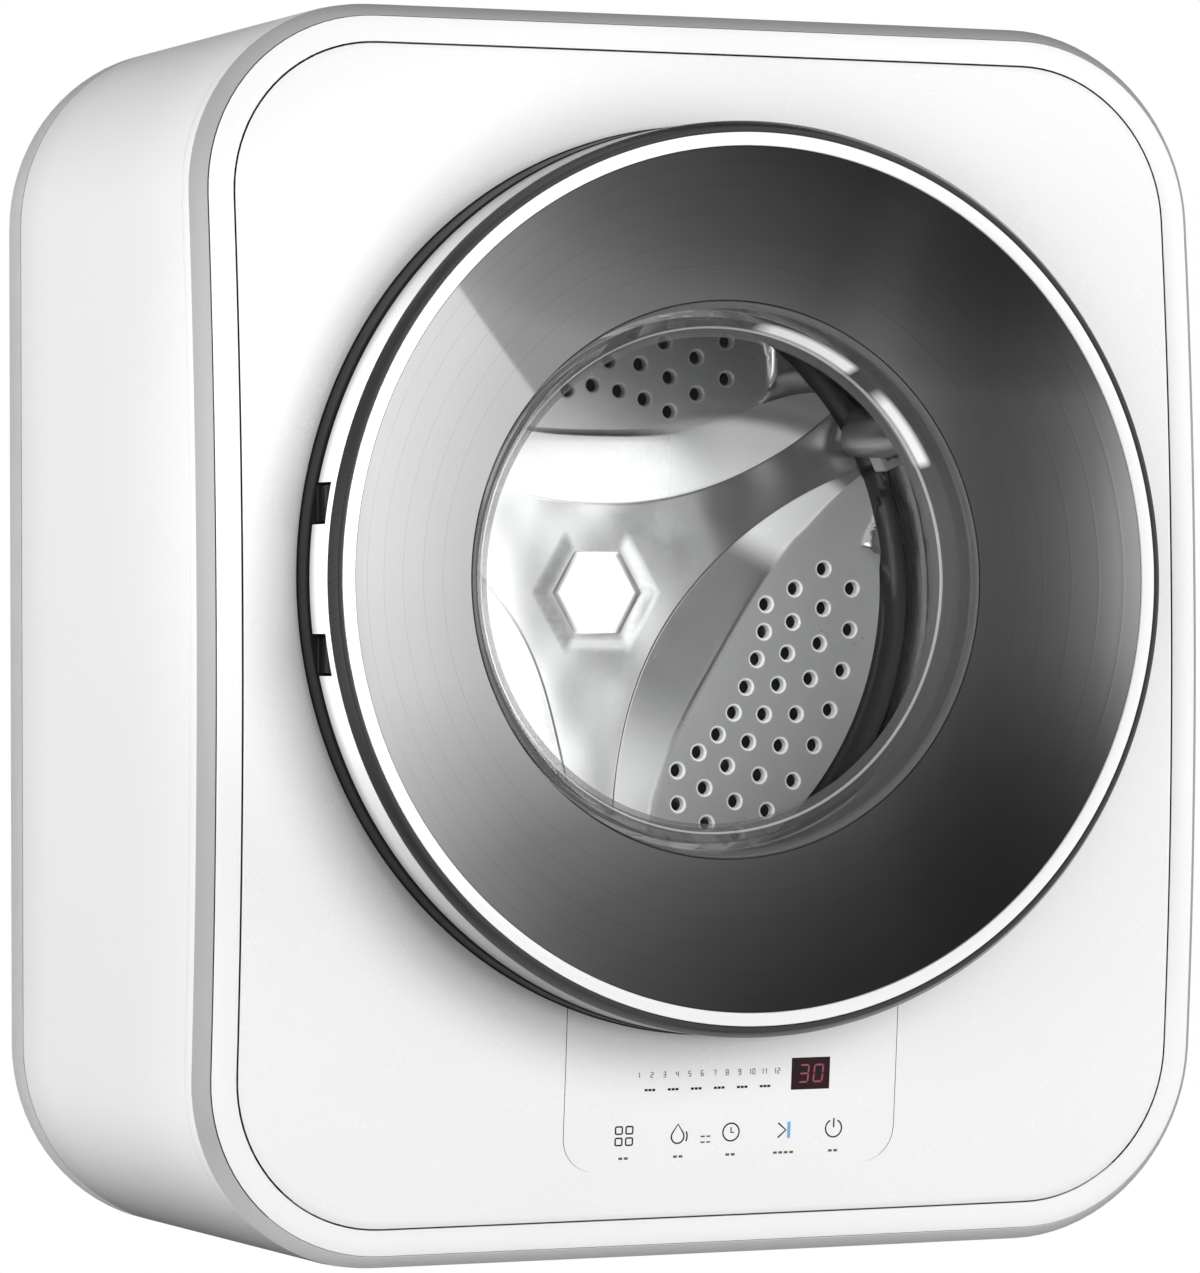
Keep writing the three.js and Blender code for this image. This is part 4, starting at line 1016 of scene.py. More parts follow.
SECTORS = (
    (90, HOLES_T, [(-132.6, 99.0), (-125, 90.7), (-115.5, 83), (-104, 74.3), (-91, 66.6), (-76, 59.7), (-61, 53.7), (-46, 49.3), (-31.6, 46.2), (-16.8, 44.8), (1.5, 44.7), (21.5, 46.4), (38, 48.5),
                    (54, 52), (76, 59.7), (91, 66.6), (104, 74.3), (118, 85), (132, 98.5)],
     [(-132, 100.5), (-121, 101.7), (-110, 101), (-98.7, 99.2), (-89, 95.7), (-82, 92.8), (-72.5, 89.6), (-61, 86.9), (-46.5, 84.2), (-26, 82), (-8, 81.1), (16, 81.6), (36, 82.6), (61, 86.9), (82, 92.8),
      (98.7, 98.2), (121, 101.2), (132, 100)]),
    (330, HOLES_R, [(-132, 92), (-112, 72.5), (-92.4, 60.5), (-76.5, 54.6), (-57, 48.1), (-38.5, 43.4), (-18.8, 40.6), (2.8, 41), (24.6, 43.4), (45.9, 48.3), (66.8, 55.6), (87.3, 65.5), (105.7, 76.6),
                    (125.6, 91.4), (132, 97)],
     [(-132, 95), (-112, 88), (-88.8, 80.7), (-70, 76.3), (-48, 74.0), (-26, 72.8), (-2, 73.5), (20.7, 75.2), (45, 76.5), (66, 78), (85, 82), (99.7, 86.6), (112.4, 90), (122.9, 93), (132, 98.5)]),
    (210, HOLES_R, [(-132, 98), (-104, 76), (-80, 63), (-60, 56.5), (-39.6, 51.2), (-21, 47.4), (0, 46), (25, 49.2), (48.7, 55.1), (64.8, 60.7), (87, 69), (110, 81), (132, 98)],
     [(-132, 100), (-110, 93), (-88, 85), (-66, 79.5), (-44, 76.5), (-22, 74.8), (0, 74.5), (22, 76), (44, 78.5), (66, 82), (88, 88), (110, 95), (132, 101)]),
)


def curve(points):
    """A smooth function through measured points."""
    a = np.array(points, float)
    c = np.polyfit(a[:, 0] / 100.0, a[:, 1], 8)
    return lambda u: np.polyval(c, np.clip(np.asarray(u, float), -131.5, 131.5) / 100.0)


CURVES = [(th, curve(lo), curve(hi)) for th, _, lo, hi in SECTORS]


def local(x, z, theta):
    c, s = math.cos(math.radians(theta)), math.sin(math.radians(theta))
    return -x * s + z * c, x * c + z * s


def step01(t):
    """0 to 1 with an eased start and end."""
    t = np.clip(np.asarray(t, float), 0, 1)
    return t * t * (3 - 2 * t)


def soft_min(values, k):
    return -k * np.log(sum(np.exp(-v / k) for v in values))


def neck_inside(u, v, r, hi):
    """Distance inside the neck that runs from the leaf on to the lifter's clip."""
    return soft_min((v - hi(u) - 1.0, u - 78.0, 134.0 - u, 113.0 - 0.12 * (u - 100.0) - v, 168.0 - r), 2.5) + 1.0


def leaf_inside(u, v, r, hi):
    """Distance inside the leaf's outline, its corners rounded."""
    main = soft_min((v - hi(u), 93.5 - np.abs(u), 161.0 - r), 7.0) + 2.0
    return np.maximum(main, neck_inside(u, v, r, hi))


hole_xy = np.array([(v * math.cos(math.radians(t)) - u * math.sin(math.radians(t)), v * math.sin(math.radians(t)) + u * math.cos(math.radians(t))) for t, hs, _, _ in SECTORS for u, v in hs])
hole_cells = {}
for _i, (_x, _z) in enumerate(hole_xy):
    hole_cells.setdefault((int(_x // 12), int(_z // 12)), []).append(_i)


def hex_radius(x, z):
    r, ang = np.hypot(x, z), np.arctan2(z, x)
    return np.max([np.abs(r * np.cos(ang - math.radians(a))) for a in (30, 90, 150)], axis=0)


def back_depth(x, z):
    """Depth of the pressed drum back at (x, z) from the drum's axis: a shallow dish, three sails that
    sweep down into three flat perforated leaves, and a hexagonal boss."""
    x, z = np.asarray(x, float), np.asarray(z, float)
    r = np.hypot(x, z)
    star = 155.5 - 0.00045 * r * r
    d = star.copy()
    necks = np.zeros(r.shape)
    for th, lo_f, hi_f in CURVES:
        u, v = local(x, z, th)
        lo, hi = lo_f(u), hi_f(u)
        fade = 1 - step01((np.abs(u) - 70) / 62.0)
        low = star + (149.9 - star) * fade
        t = np.clip((v - lo) / np.maximum(hi - lo, 2.0), 0, 1)
        crease = 0.3 * step01((v - lo + 0.9) / 1.8) * (1 - step01((v - lo) / np.maximum(hi - lo, 2.0)))
        sail = star + (low - star) * t + crease
        out = low + (star - low) * step01((v - hi) / 14.0)
        here = np.where(v > hi, out, sail)
        ins = leaf_inside(u, v, r, hi_f)
        q = step01((ins + 1.6) / 4.4)
        here = here + (LEAF + 1.0 - 0.00033 * u * u - here) * q
        d = np.where((v > 20) & (np.abs(u) < 131.5) & (v > lo - 0.9), here, d)
        necks = np.maximum(necks, step01((neck_inside(u, v, r, hi_f) + 0.5) / 2.0) * (v > 60))
    # the plate ends in an edge, and a gutter runs outside it
    d = d + 6.5 * step01((r - 155.6) / 1.8) * (1 - necks)
    hx = hex_radius(x, z)
    d = d - 0.5 * (1 - step01((hx - 21.0) / 10.3))
    d = np.where(hx < 20.7, d + (154.9 + 0.033 * x - d) * step01((20.7 - hx) / 0.5), d)
    c = np.clip((r - 160.0) / 7.4, 0, 1)
    d = d - 7.4 * (1 - np.sqrt(np.maximum(0.0, 1 - c ** 2)))
    q = np.full(r.shape, 1e9)
    for hx, hz in hole_xy:
        q = np.minimum(q, np.hypot(x - hx, z - hz))
    k = np.clip((4.6 - q) / 1.3, 0, 1)
    return d + 1.4 * (1 - np.sqrt(np.maximum(0.0, 1 - k ** 2)))


def make_drum_back():
    pts, edges = [], []

    def chain(ps, closed=False, constrain=True):
        b = len(pts)
        pts.extend(ps)
        m = len(ps)
        if constrain:
            for i in range(m if closed else m - 1):
                edges.append((b + i, b + (i + 1) % m))

    def near_hole(x, z, reach):
        cx, cz = int(x // 12), int(z // 12)
        return any((x - hole_xy[q][0]) ** 2 + (z - hole_xy[q][1]) ** 2 < reach * reach for i in (-1, 0, 1) for j in (-1, 0, 1) for q in hole_cells.get((cx + i, cz + j), ()))

    for hx, hz in hole_xy:
        for rr, k, con in ((3.3, 24, True), (3.38, 24, False), (3.55, 24, False), (3.8, 24, False), (4.15, 24, False), (4.6, 24, True), (5.3, 18, False)):
            chain([(hx + rr * math.cos(2 * math.pi * i / k), hz + rr * math.sin(2 * math.pi * i / k)) for i in range(k)], True, con)
    lines = []
    for th, lo_f, hi_f in CURVES:
        c, s = math.cos(math.radians(th)), math.sin(math.radians(th))
        us = np.linspace(-131, 131, 201)
        for fn, offs, key in ((lo_f, (-1.5, -0.9, -0.45, 0.0, 0.45, 0.9, 1.6, 3.0), 0.0), (hi_f, (-3.4, -1.9, -0.5, 0.0, 0.8, 2.2, 3.6), 0.0)):
            for off in offs:
                run = []
                for u in us:
                    v = float(fn(u)) + off
                    q = (v * c - u * s, v * s + u * c)
                    if math.hypot(*q) < 153.8 and not near_hole(q[0], q[1], 5.6):
                        run.append(q)
                        lines.append(q)
                    else:
                        if len(run) > 1:
                            chain(run, constrain=off == key)
                        run = []
                if len(run) > 1:
                    chain(run, constrain=off == key)
        # the leaf's outline at its ends and round its outside
        for lev in (-1.2, 0.2, 1.4, 2.6):
            for a in np.linspace(-76, 76, 150):
                # search outwards along a ray from inside the leaf
                ox, oz = 0.0, 112.0
                dx, dz = math.sin(math.radians(a * 2.2)), math.cos(math.radians(a * 2.2))
                lo_t, hi_t = 0.0, 130.0
                for _ in range(26):
                    mt = (lo_t + hi_t) / 2
                    uu, vv = ox + dx * mt, oz + dz * mt
                    if float(leaf_inside(np.array(uu), np.array(vv), np.hypot(uu, vv), hi_f)) > lev:
                        lo_t = mt
                    else:
                        hi_t = mt
                uu, vv = ox + dx * lo_t, oz + dz * lo_t
                if vv > float(hi_f(uu)) + 4.0 and math.hypot(uu, vv) < 153.6:
                    q = (vv * c - uu * s, vv * s + uu * c)
                    if not near_hole(q[0], q[1], 5.6):
                        pts.append(q)
                        lines.append(q)
    for ap in (18.0, 20.2, 20.45, 20.7, 21.3, 22.2, 24.5, 27.5, 30.2, 31.3, 33.0):
        R = ap / math.cos(math.pi / 6)
        cs = [(R * math.cos(math.radians(60 * i)), R * math.sin(math.radians(60 * i))) for i in range(6)]
        row = []
        for i in range(6):
            a, b = cs[i], cs[(i + 1) % 6]
            for q in range(14):
                row.append((a[0] + (b[0] - a[0]) * q / 14, a[1] + (b[1] - a[1]) * q / 14))
        chain(row, True, constrain=ap in (20.2, 20.7, 31.3))
        lines += row
    for i in range(6):
        a = math.radians(60 * i)
        for R in np.linspace(25.0, 35.6, 9):
            lines.append((R * math.cos(a), R * math.sin(a)))
            pts.append(lines[-1])
    for R in (155.1, 155.6, 156.0, 156.5, 157.0, 157.5, 158.4, 160.0, 162.0, 163.8, 165.3, 166.4, 167.1, 167.4):
        chain([(R * math.cos(2 * math.pi * i / 300), R * math.sin(2 * math.pi * i / 300)) for i in range(300)], True, constrain=R > 167.3 or abs(R - 155.6) < 0.01)
    step = 3.2
    cells = {}
    for q in lines:
        cells.setdefault((int(q[0] // 4), int(q[1] // 4)), []).append(q)
    row = 0
    y = -154.6
    while y < 154.6:
        x = -154.6 + (step / 2 if row % 2 else 0)
        while x < 154.6:
            if x * x + y * y < 153.6 ** 2 and not near_hole(x, y, 6.2):
                cx, cy = int(x // 4), int(y // 4)
                if not any((x - a) ** 2 + (y - b) ** 2 < 2.0 for i in (-1, 0, 1) for j in (-1, 0, 1) for a, b in cells.get((cx + i, cy + j), ())):
                    pts.append((x, y))
            x += step
        y += step * 0.866
        row += 1
    vs, es, fs, *_ = delaunay_2d_cdt([Vector(q) for q in pts], edges, [], 0, 1e-4)
    V = np.array([(q.x, q.y) for q in vs])
    F = np.array([f for f in fs if len(f) == 3])
    cen = V[F].mean(axis=1)
    near = np.full(len(F), 1e9)
    for hx, hz in hole_xy:
        near = np.minimum(near, np.hypot(cen[:, 0] - hx, cen[:, 1] - hz))
    F = F[(np.hypot(cen[:, 0], cen[:, 1]) < 167.35) & (near > 3.26)]
    used = np.unique(F)
    remap = -np.ones(len(V), int)
    remap[used] = np.arange(len(used))
    V, F = V[used], remap[F]
    D = back_depth(V[:, 0], V[:, 1])
    e = 0.04
    gx = (back_depth(V[:, 0] + e, V[:, 1]) - back_depth(V[:, 0] - e, V[:, 1])) / (2 * e)
    gz = (back_depth(V[:, 0], V[:, 1] + e) - back_depth(V[:, 0], V[:, 1] - e)) / (2 * e)
    Nn = np.stack([gx, -np.ones_like(gx), gz], axis=1)
    Nn /= np.linalg.norm(Nn, axis=1)[:, None]
    n = len(V)
    vh = np.full(n, 1e9)
    for hx, hz in hole_xy:
        vh = np.minimum(vh, np.hypot(V[:, 0] - hx, V[:, 1] - hz))
    thick = np.where(vh < 3.35, 3.4, 0.9)
    front = [(V[i, 0], D[i], DRUM_Z + V[i, 1]) for i in range(n)]
    backv = [(V[i, 0], D[i] + thick[i], DRUM_Z + V[i, 1]) for i in range(n)]
    tri = F.copy()
    a, b, c = V[tri[:, 0]], V[tri[:, 1]], V[tri[:, 2]]
    area = (b[:, 0] - a[:, 0]) * (c[:, 1] - a[:, 1]) - (b[:, 1] - a[:, 1]) * (c[:, 0] - a[:, 0])
    flip = area < 0
    tri[flip] = tri[flip][:, ::-1]
    # finish of each face: 0 star, 1 sail, 2 leaf, 3 lip of a hole, 4 hub, 5 gutter, near-black as painted shade
    cen = V[tri].mean(axis=1)
    near = np.full(len(tri), 1e9)
    for hx, hz in hole_xy:
        near = np.minimum(near, np.hypot(cen[:, 0] - hx, cen[:, 1] - hz))
    kind = np.zeros(len(tri), int)
    rc = np.hypot(cen[:, 0], cen[:, 1])
    for th, lo_f, hi_f in CURVES:
        u, v = local(cen[:, 0], cen[:, 1], th)
        ok = (v > 20) & (np.abs(u) < 131.5)
        kind[ok & (v > lo_f(u)) & (v < hi_f(u)) & (rc < 160)] = 1
        kind[ok & (leaf_inside(u, v, rc, hi_f) > 0.2) & (v > hi_f(u) - 1.0)] = 2
    # painted shade: the gutter outside the plate takes the near-black steel
    kind[rc > 156.6] = 5
    kind[near < 4.55] = 3
    kind[hex_radius(cen[:, 0], cen[:, 1]) < 20.7] = 4
    faces = [tuple(map(int, t)) for t in tri]
    seen = set()
    for t in faces:
        for i in range(3):
            seen.add((t[i], t[(i + 1) % 3]))
    rimf = [k for k in seen if (k[1], k[0]) not in seen]
    rimf.sort()
    nfront = len(faces)
    faces += [(t[2] + n, t[1] + n, t[0] + n) for t in faces]
    nf = len(faces)
    faces += [(k[1], k[0], k[0] + n, k[1] + n) for k in rimf]
    me = bpy.data.meshes.new("drum_back_pressing")
    me.from_pydata([place(*q) for q in front + backv], [], faces)
    me.polygons.foreach_set("use_smooth", [True] * len(me.polygons))
    loops = np.zeros(len(me.loops), int)
    me.loops.foreach_get("vertex_index", loops)
    ln = np.zeros((len(me.loops), 3))
    isback = loops >= n
    ln[~isback] = Nn[loops[~isback]]
    ln[isback] = -Nn[loops[isback] - n]
    # the walls of the holes face the middle of each hole
    start = me.polygons[nf].loop_start
    own = {}
    for i in range(start, len(me.loops)):
        q = loops[i] % n
        if q not in own:
            x, z = V[q]
            best = hole_xy[np.argmin(np.hypot(hole_xy[:, 0] - x, hole_xy[:, 1] - z))]
            w = np.array((best[0] - x, 0.0, best[1] - z)) if math.hypot(x, z) < 165 else np.array((x, 0.0, z))
            own[q] = w / np.linalg.norm(w)
        ln[i] = own[q]
    me.normals_split_custom_set([tuple(q) for q in ln])
    # painted highlight mask on the sails: a bright patch near one end of each sail and a wash towards the other end
    highlight_mask = np.zeros(n)
    for th, lo_f, hi_f in CURVES:
        u, v = local(V[:, 0], V[:, 1], th)
        on = (v > 20) & (v > lo_f(u) - 2.0) & (v < hi_f(u) + 2.0)
        high = step01((u - 52.0) / 20.0) * (1 - step01((u - 108.0) / 10.0))
        highlight_mask = np.where(on, np.maximum(high, 0.75 * step01((-u - 15.0) / 65.0)), highlight_mask)
    at = me.attributes.new("painted_highlight", "FLOAT", "POINT")
    at.data.foreach_set("value", np.concatenate([highlight_mask, np.zeros(n)]))
    for m in (STEEL_STAR, STEEL_SAIL, STEEL_LEAF, STEEL_LIP, STEEL_HUB, STEEL_REVERSE_AND_SHADE):
        me.materials.append(m)
    idx = np.full(len(me.polygons), 5)
    idx[:nfront] = kind
    idx[nf:] = 3
    me.polygons.foreach_set("material_index", idx)
    me.update()
    ob = bpy.data.objects.new("drum_back_pressing", me)
    scene.collection.objects.link(ob)
    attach(ob, "drum")
    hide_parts("drum_back")
    return ob


def make_drum():
    make_drum_back()
    # wall with rolled beads, and the rolled front lip
    outer = [(149.0, 38.2, 1.2), (169.4, 38.2, 4.0), (169.4, 60, 1.5), (170.3, 63, 1.5), (169.4, 66, 1.5), (169.4, 118, 1.5), (170.3, 121, 1.5), (169.4, 124, 1.5), (169.4, 159.5, 0.4)]
    inner = [(168.0, 159.5, 0.4), (168.0, 124.4, 1.5), (168.9, 121, 1.5), (168.0, 117.6, 1.5), (168.0, 66.4, 1.5), (168.9, 63, 1.5), (168.0, 59.6, 1.5), (168.0, 39.8, 3.0), (150.5, 39.6, 1.0), (150.2, 44.6, 0.4), (149.0, 44.6, 0.4)]
    turned("drum_wall", outer + inner, DRUM_STEEL, "drum", "stainless", cz=DRUM_Z, n=300, replaces=("drum_shell",), seg=3, sharp=50)
    # lifters: long hollow ridges that taper towards the mouth, each with a white clip at its back end
    for q, deg in enumerate((30, 150, 270)):
        th = math.radians(deg)
        secs = []
        stations = [(49.0, 0.15), (50.5, 0.45), (54.0, 0.72), (60.0, 0.9), (75.0, 1.0), (110.0, 1.0), (130.0, 0.94), (137.0, 0.8), (140.0, 0.55), (141.0, 0.3)]
        m = 15
        for d, s in stations:
            row = []
            for i in range(m):
                t = -1 + 2 * i / (m - 1)
                wdt = 16.5 * (0.72 + 0.28 * s)
                h = 24.0 * s * (1 - abs(t) ** 1.7) ** 0.85
                w = t * wdt
                base = math.sqrt(max(0.0, 167.6 ** 2 - w * w))
                row.append((w, base - h))
            secs.append((d, row))
        verts, faces = [], []
        for d, row in secs:
            for w, rad in row:
                verts.append((rad * math.cos(th) - w * math.sin(th), d, DRUM_Z + rad * math.sin(th) + w * math.cos(th)))
        k = len(secs)
        for j in range(k - 1):
            for i in range(m - 1):
                faces.append((j * m + i, j * m + i + 1, (j + 1) * m + i + 1, (j + 1) * m + i))
        # closed underside along the drum wall
        nb = len(verts)
        for d, row in secs:
            for w, _ in row:
                rad = math.sqrt(167.6 ** 2 - w * w)
                verts.append((rad * math.cos(th) - w * math.sin(th), d, DRUM_Z + rad * math.sin(th) + w * math.cos(th)))
        for j in range(k - 1):
            for i in range(m - 1):
                faces.append((nb + j * m + i, nb + (j + 1) * m + i, nb + (j + 1) * m + i + 1, nb + j * m + i + 1))
            for i in (0, m - 1):
                faces.append((j * m + i, (j + 1) * m + i, nb + (j + 1) * m + i, nb + j * m + i))
        for j in (0, k - 1):
            for i in range(m - 1):
                faces.append((j * m + i, j * m + i + 1, nb + j * m + i + 1, nb + j * m + i))
        lf = add("lifter_ridge_%d" % (q + 1), verts, faces, STEEL_LIFTER, "drum", "stainless", ("lifter_%d" % (q + 1),), sharp=55)
        bm = bmesh.new()
        bm.from_mesh(lf.data)
        bmesh.ops.remove_doubles(bm, verts=bm.verts, dist=2e-5)
        bmesh.ops.recalc_face_normals(bm, faces=bm.faces)
        bm.to_mesh(lf.data)
        bm.free()
        # white clip with a screw hole, on the flank of the lifter
        tc = math.radians(deg - 4.2)
        er, et = (math.cos(tc), math.sin(tc)), (-math.sin(tc), math.cos(tc))

        def at(rad, w):
            return rad * er[0] + w * et[0], DRUM_Z + rad * er[1] + w * et[1]

        cv = []
        for d, g in ((108.0, 0.0), (120.0, 0.0)):
            for rad, w in ((151.5, -6.0), (164.2, -6.8), (164.2, 6.8), (151.5, 6.0)):
                x, z = at(rad, w)
                cv.append((x, d, z))
        clip = add("lifter_clip_%d" % (q + 1), cv, [(0, 1, 2, 3), (7, 6, 5, 4), (0, 4, 5, 1), (1, 5, 6, 2), (2, 6, 7, 3), (3, 7, 4, 0)], PLASTIC, "drum", "white_plastic")
        hx, hz = at(157.0, 0.0)
        carve(clip, [rod(hx, hz, 1.7, 100.0, 114.0, 24)])
        bevel(clip, 1.2, 3, 50)


make_drum()


# ---- bellows --------------------------------------------------------------------------------------
def make_bellows():
    sec = [(156.5, -3, 0.8), (156.5, 5.8, 1.6), (150.6, 11, 1.6), (150.6, 15.2, 1.8), (158.8, 21.4, 1.6), (158.8, 30, 1.0), (156.1, 30, 0.8), (156.1, 22.8, 1.4), (147.8, 16.4, 1.6), (147.8, 12.8, 0.6),
           (133.0, 12.4, 0.6), (130.6, 10.0, 0.8), (131.6, 9.0, 0.4), (150.5, 4, 2.0), (153.8, -3, 0.8)]
    n = 200
    loops = []
    for r, d in fillet(sec, 4):
        sh = 0.0 if r < 140 else (DRUM_Z - DOOR_Z) * min(1.0, max(0.0, (d - 6) / 15.0))
        loops.append([(r * math.sin(2 * math.pi * i / n), d, DOOR_Z + sh + r * math.cos(2 * math.pi * i / n)) for i in range(n)])
    v, f = loft(loops)
    add("door_bellows", v, f, RUBBER_GREY, "cabinet", "grey_rubber", ("bellows",), sharp=60)


make_bellows()


# ---- lid, ports, wall side --------------------------------------------------------------------------
def make_outside():
    # detergent lid: domed flap with a rolled finger edge
    x0, x1, y0, y1 = LID
    v, f = [], []
    k = 14
    m = 10
    top, bot = [], []
    for j in range(m + 1):
        for i in range(k + 1):
            x = x0 + 0.3 + (x1 - x0 - 0.6) * i / k
            y = y0 + 0.3 + (y1 - y0 - 0.9) * j / m
            lip = 0.7 * max(0.0, 1 - (y - y0) / 9.0) ** 2
            top.append((x, y, 299.75 - lip))
            bot.append((x, y, 297.45))
    v = top + bot
    w = k + 1
    nt = len(top)
    for j in range(m):
        for i in range(k):
            a = j * w + i
            f.append((a, a + 1, a + w + 1, a + w))
            f.append((nt + a, nt + a + w, nt + a + w + 1, nt + a + 1))
    edge = [i for i in range(w)] + [j * w + k for j in range(1, m + 1)] + [m * w + i for i in range(k - 1, -1, -1)] + [j * w for j in range(m - 1, 0, -1)]
    for q in range(len(edge)):
        a, b = edge[q], edge[(q + 1) % len(edge)]
        f.append((a, nt + a, nt + b, b))
    lid = add("detergent_flap_lid", v, f, WHITE, "detergent_flap", "white_shell", ("detergent_lid",))
    bevel(lid, 0.6, 3)
    n = 24
    rodv = [(x, 129.0 + 1.15 * math.cos(2 * math.pi * i / n), 298.55 + 1.15 * math.sin(2 * math.pi * i / n)) for x in (x0 + 0.4, x1 - 0.4) for i in range(n)]
    rodf = [tuple(range(n)), tuple(range(2 * n - 1, n - 1, -1))] + [(i, n + i, n + (i + 1) % n, (i + 1) % n) for i in range(n)]
    add("flap_hinge_rod", rodv, rodf, PLASTIC, "detergent_flap", "white_plastic")

    def upright(name, profile, mat, slot, cx, cd, replaces=(), n=96):
        """Solid of revolution about a vertical axis; corners are (radius, z, fillet)."""
        pts = fillet(profile, 3, True)
        verts, faces, rows = [], [], []
        for r, z in pts:
            rows.append(list(range(len(verts), len(verts) + n)))
            verts.extend((cx + r * math.cos(2 * math.pi * i / n), cd + r * math.sin(2 * math.pi * i / n), z) for i in range(n))
        mm = len(rows)
        for j in range(mm):
            a, b = rows[j], rows[(j + 1) % mm]
            for i in range(n):
                faces.append((a[i], b[i], b[(i + 1) % n], a[(i + 1) % n]))
        return add(name, verts, faces, mat, "cabinet", slot, replaces)

    def thread(r0, r1, z0, z1, pitch):
        """Ring ridges of a thread, as profile corners from z0 down to z1."""
        out, z = [], z0
        while z - pitch > z1:
            out += [(r0, z, 0.2), (r1, z - pitch * 0.35, 0.25), (r1, z - pitch * 0.55, 0.25), (r0, z - pitch * 0.9, 0.2)]
            z -= pitch
        return out

    def hexring(name, r, ri, z0, z1, mat, slot, cx, cd, replaces=()):
        vv = [(cx + q * math.cos(math.radians(60 * i)), cd + q * math.sin(math.radians(60 * i)), z) for q, z in ((r, z0), (r, z1)) for i in range(6)]
        ff = [tuple(range(6)), tuple(range(11, 5, -1))] + [(i, 6 + i, 6 + (i + 1) % 6, (i + 1) % 6) for i in range(6)]
        ob = add(name, vv, ff, mat, "cabinet", slot, replaces)
        carve(ob, [column(cx, cd, ri, z0 - 5, z1 + 5)])
        return bevel(ob, 0.5, 2)

    x, d, _ = PORTS["inlet"]
    upright("inlet_spigot", [(13.1, -292.0, 0.2), (13.1, -298.6, 0.3)] + thread(12.2, 13.1, -299.4, -313.6, 1.81) + [(12.2, -314.0, 0.2), (11.8, -315.0, 0.3), (9.2, -315.0, 0.3), (9.0, -292.0, 0.2)],
            PLASTIC, "white_plastic", x, d, ("inlet_valve",))
    upright("inlet_flange", [(18, -293.0, 0.4), (18, -297.2, 0.6), (13.2, -297.2, 0.2), (13.2, -293.0, 0.2)], PLASTIC, "white_plastic", x, d)
    vb = add("inlet_valve_block", *boxmesh(x - 16, x + 16, d - 20, d + 14, -291.8, -250), PLASTIC, "cabinet", "white_plastic")
    bevel(vb, 2.0, 3)
    upright("inlet_valve_barb", [(7, -249.9, 0.2), (7, -237, 0.8), (6.2, -236, 0.4), (4.5, -236, 0.3), (4.5, -249.9, 0.2)], PLASTIC, "white_plastic", x, d, n=48)
    x, d, _ = PORTS["drain"]
    upright("drain_spigot", [(18, -294.0, 0.4), (18, -297.2, 0.6), (13, -297.2, 0.4), (13, -302.0, 0.3), (12.4, -303.0, 0.3), (13, -307.2, 0.3), (12.4, -308.2, 0.3), (13, -312.6, 0.3), (12.2, -315.0, 0.5), (9.2, -315.0, 0.4), (9.0, -285.0, 0.2), (12.8, -285.0, 0.2), (12.8, -294.0, 0.3)],
            PLASTIC, "white_plastic", x, d, ("drain_outlet",))
    x, d, _ = PORTS["cord"]
    upright("gland_barrel", [(9.9, -284.2, 0.3)] + [(10.0, -300.3, 0.2), (9.6, -303.6, 0.2), (9.9, -305.0, 0.8), (8.4, -311.8, 1.6), (6.0, -313.0, 0.8), (4.1, -313.0, 0.5), (4.0, -284.2, 0.2)], BLACK, "black_plastic", x, d, ("cable_gland",))
    hexring("gland_nut_outer", 14.0, 10.05, -303.5, -300.4, BLACK, "black_plastic", x, d)
    hexring("gland_nut_inner", 13.5, 10.05, -297.2, -293.5, BLACK, "black_plastic", x, d)

    # wall plate with its raised pads and the four bolts
    plate = add("wall_plate_sheet", *boxmesh(-190, 190, 298.0, 301.0, -190, 190), ZINC, "cabinet", "zinc_steel", ("wall_plate",))
    cut = [boxmesh(-100, 100, 290, 310, a, b) for a, b in ((60, 130), (-130, -60))]
    cut += [rod(i * 150.0, j * 150.0, 4.6, 290, 310, 40) for i in (1, -1) for j in (1, -1)]
    cut += [rod(i * 110.0, j * 172.0, 5.2, 290, 310, 40) for i in (1, -1) for j in (1, -1)]
    carve(plate, cut)
    bevel(plate, 0.5, 2, 50)
    q = 0
    for i in (1, -1):
        for j in (1, -1):
            q += 1
            turned("plate_pad_%d" % q, [(4.7, 293.3, 0.3), (17.5, 293.3, 1.0), (20.0, 295.6, 1.5), (20.0, 297.95, 0.1), (4.7, 297.95, 0.1)], ZINC, "cabinet", "zinc_steel", cx=i * 150.0, cz=j * 150.0, n=64)
    q = 0
    for i in (1, -1):
        for j in (1, -1):
            q += 1
            cx, cz = i * 150.0, j * 150.0
            turned("bolt_shank_%d" % q, [(0, 276.2, 0), (3.2, 276.2, 0.3), (3.9, 277.2, 0.3), (3.9, 300.2, 0.2), (0, 300.2, 0)], ZINC, "cabinet", "zinc_steel", cx=cx, cz=cz, n=40, replaces=("wall_bolt_%d" % q,))
            vv = [(cx + 8.3 * math.cos(math.radians(60 * a)), dd, cz + 8.3 * math.sin(math.radians(60 * a))) for dd in (283.8, 289.4) for a in range(6)]
            ff = [tuple(range(6)), tuple(range(11, 5, -1))] + [(a, 6 + a, 6 + (a + 1) % 6, (a + 1) % 6) for a in range(6)]
            hx = add("bolt_nut_%d" % q, vv, ff, ZINC, "cabinet", "zinc_steel")
            carve(hx, [rod(cx, cz, 3.95, 280, 295, 32)])
            bevel(hx, 0.5, 2)


make_outside()


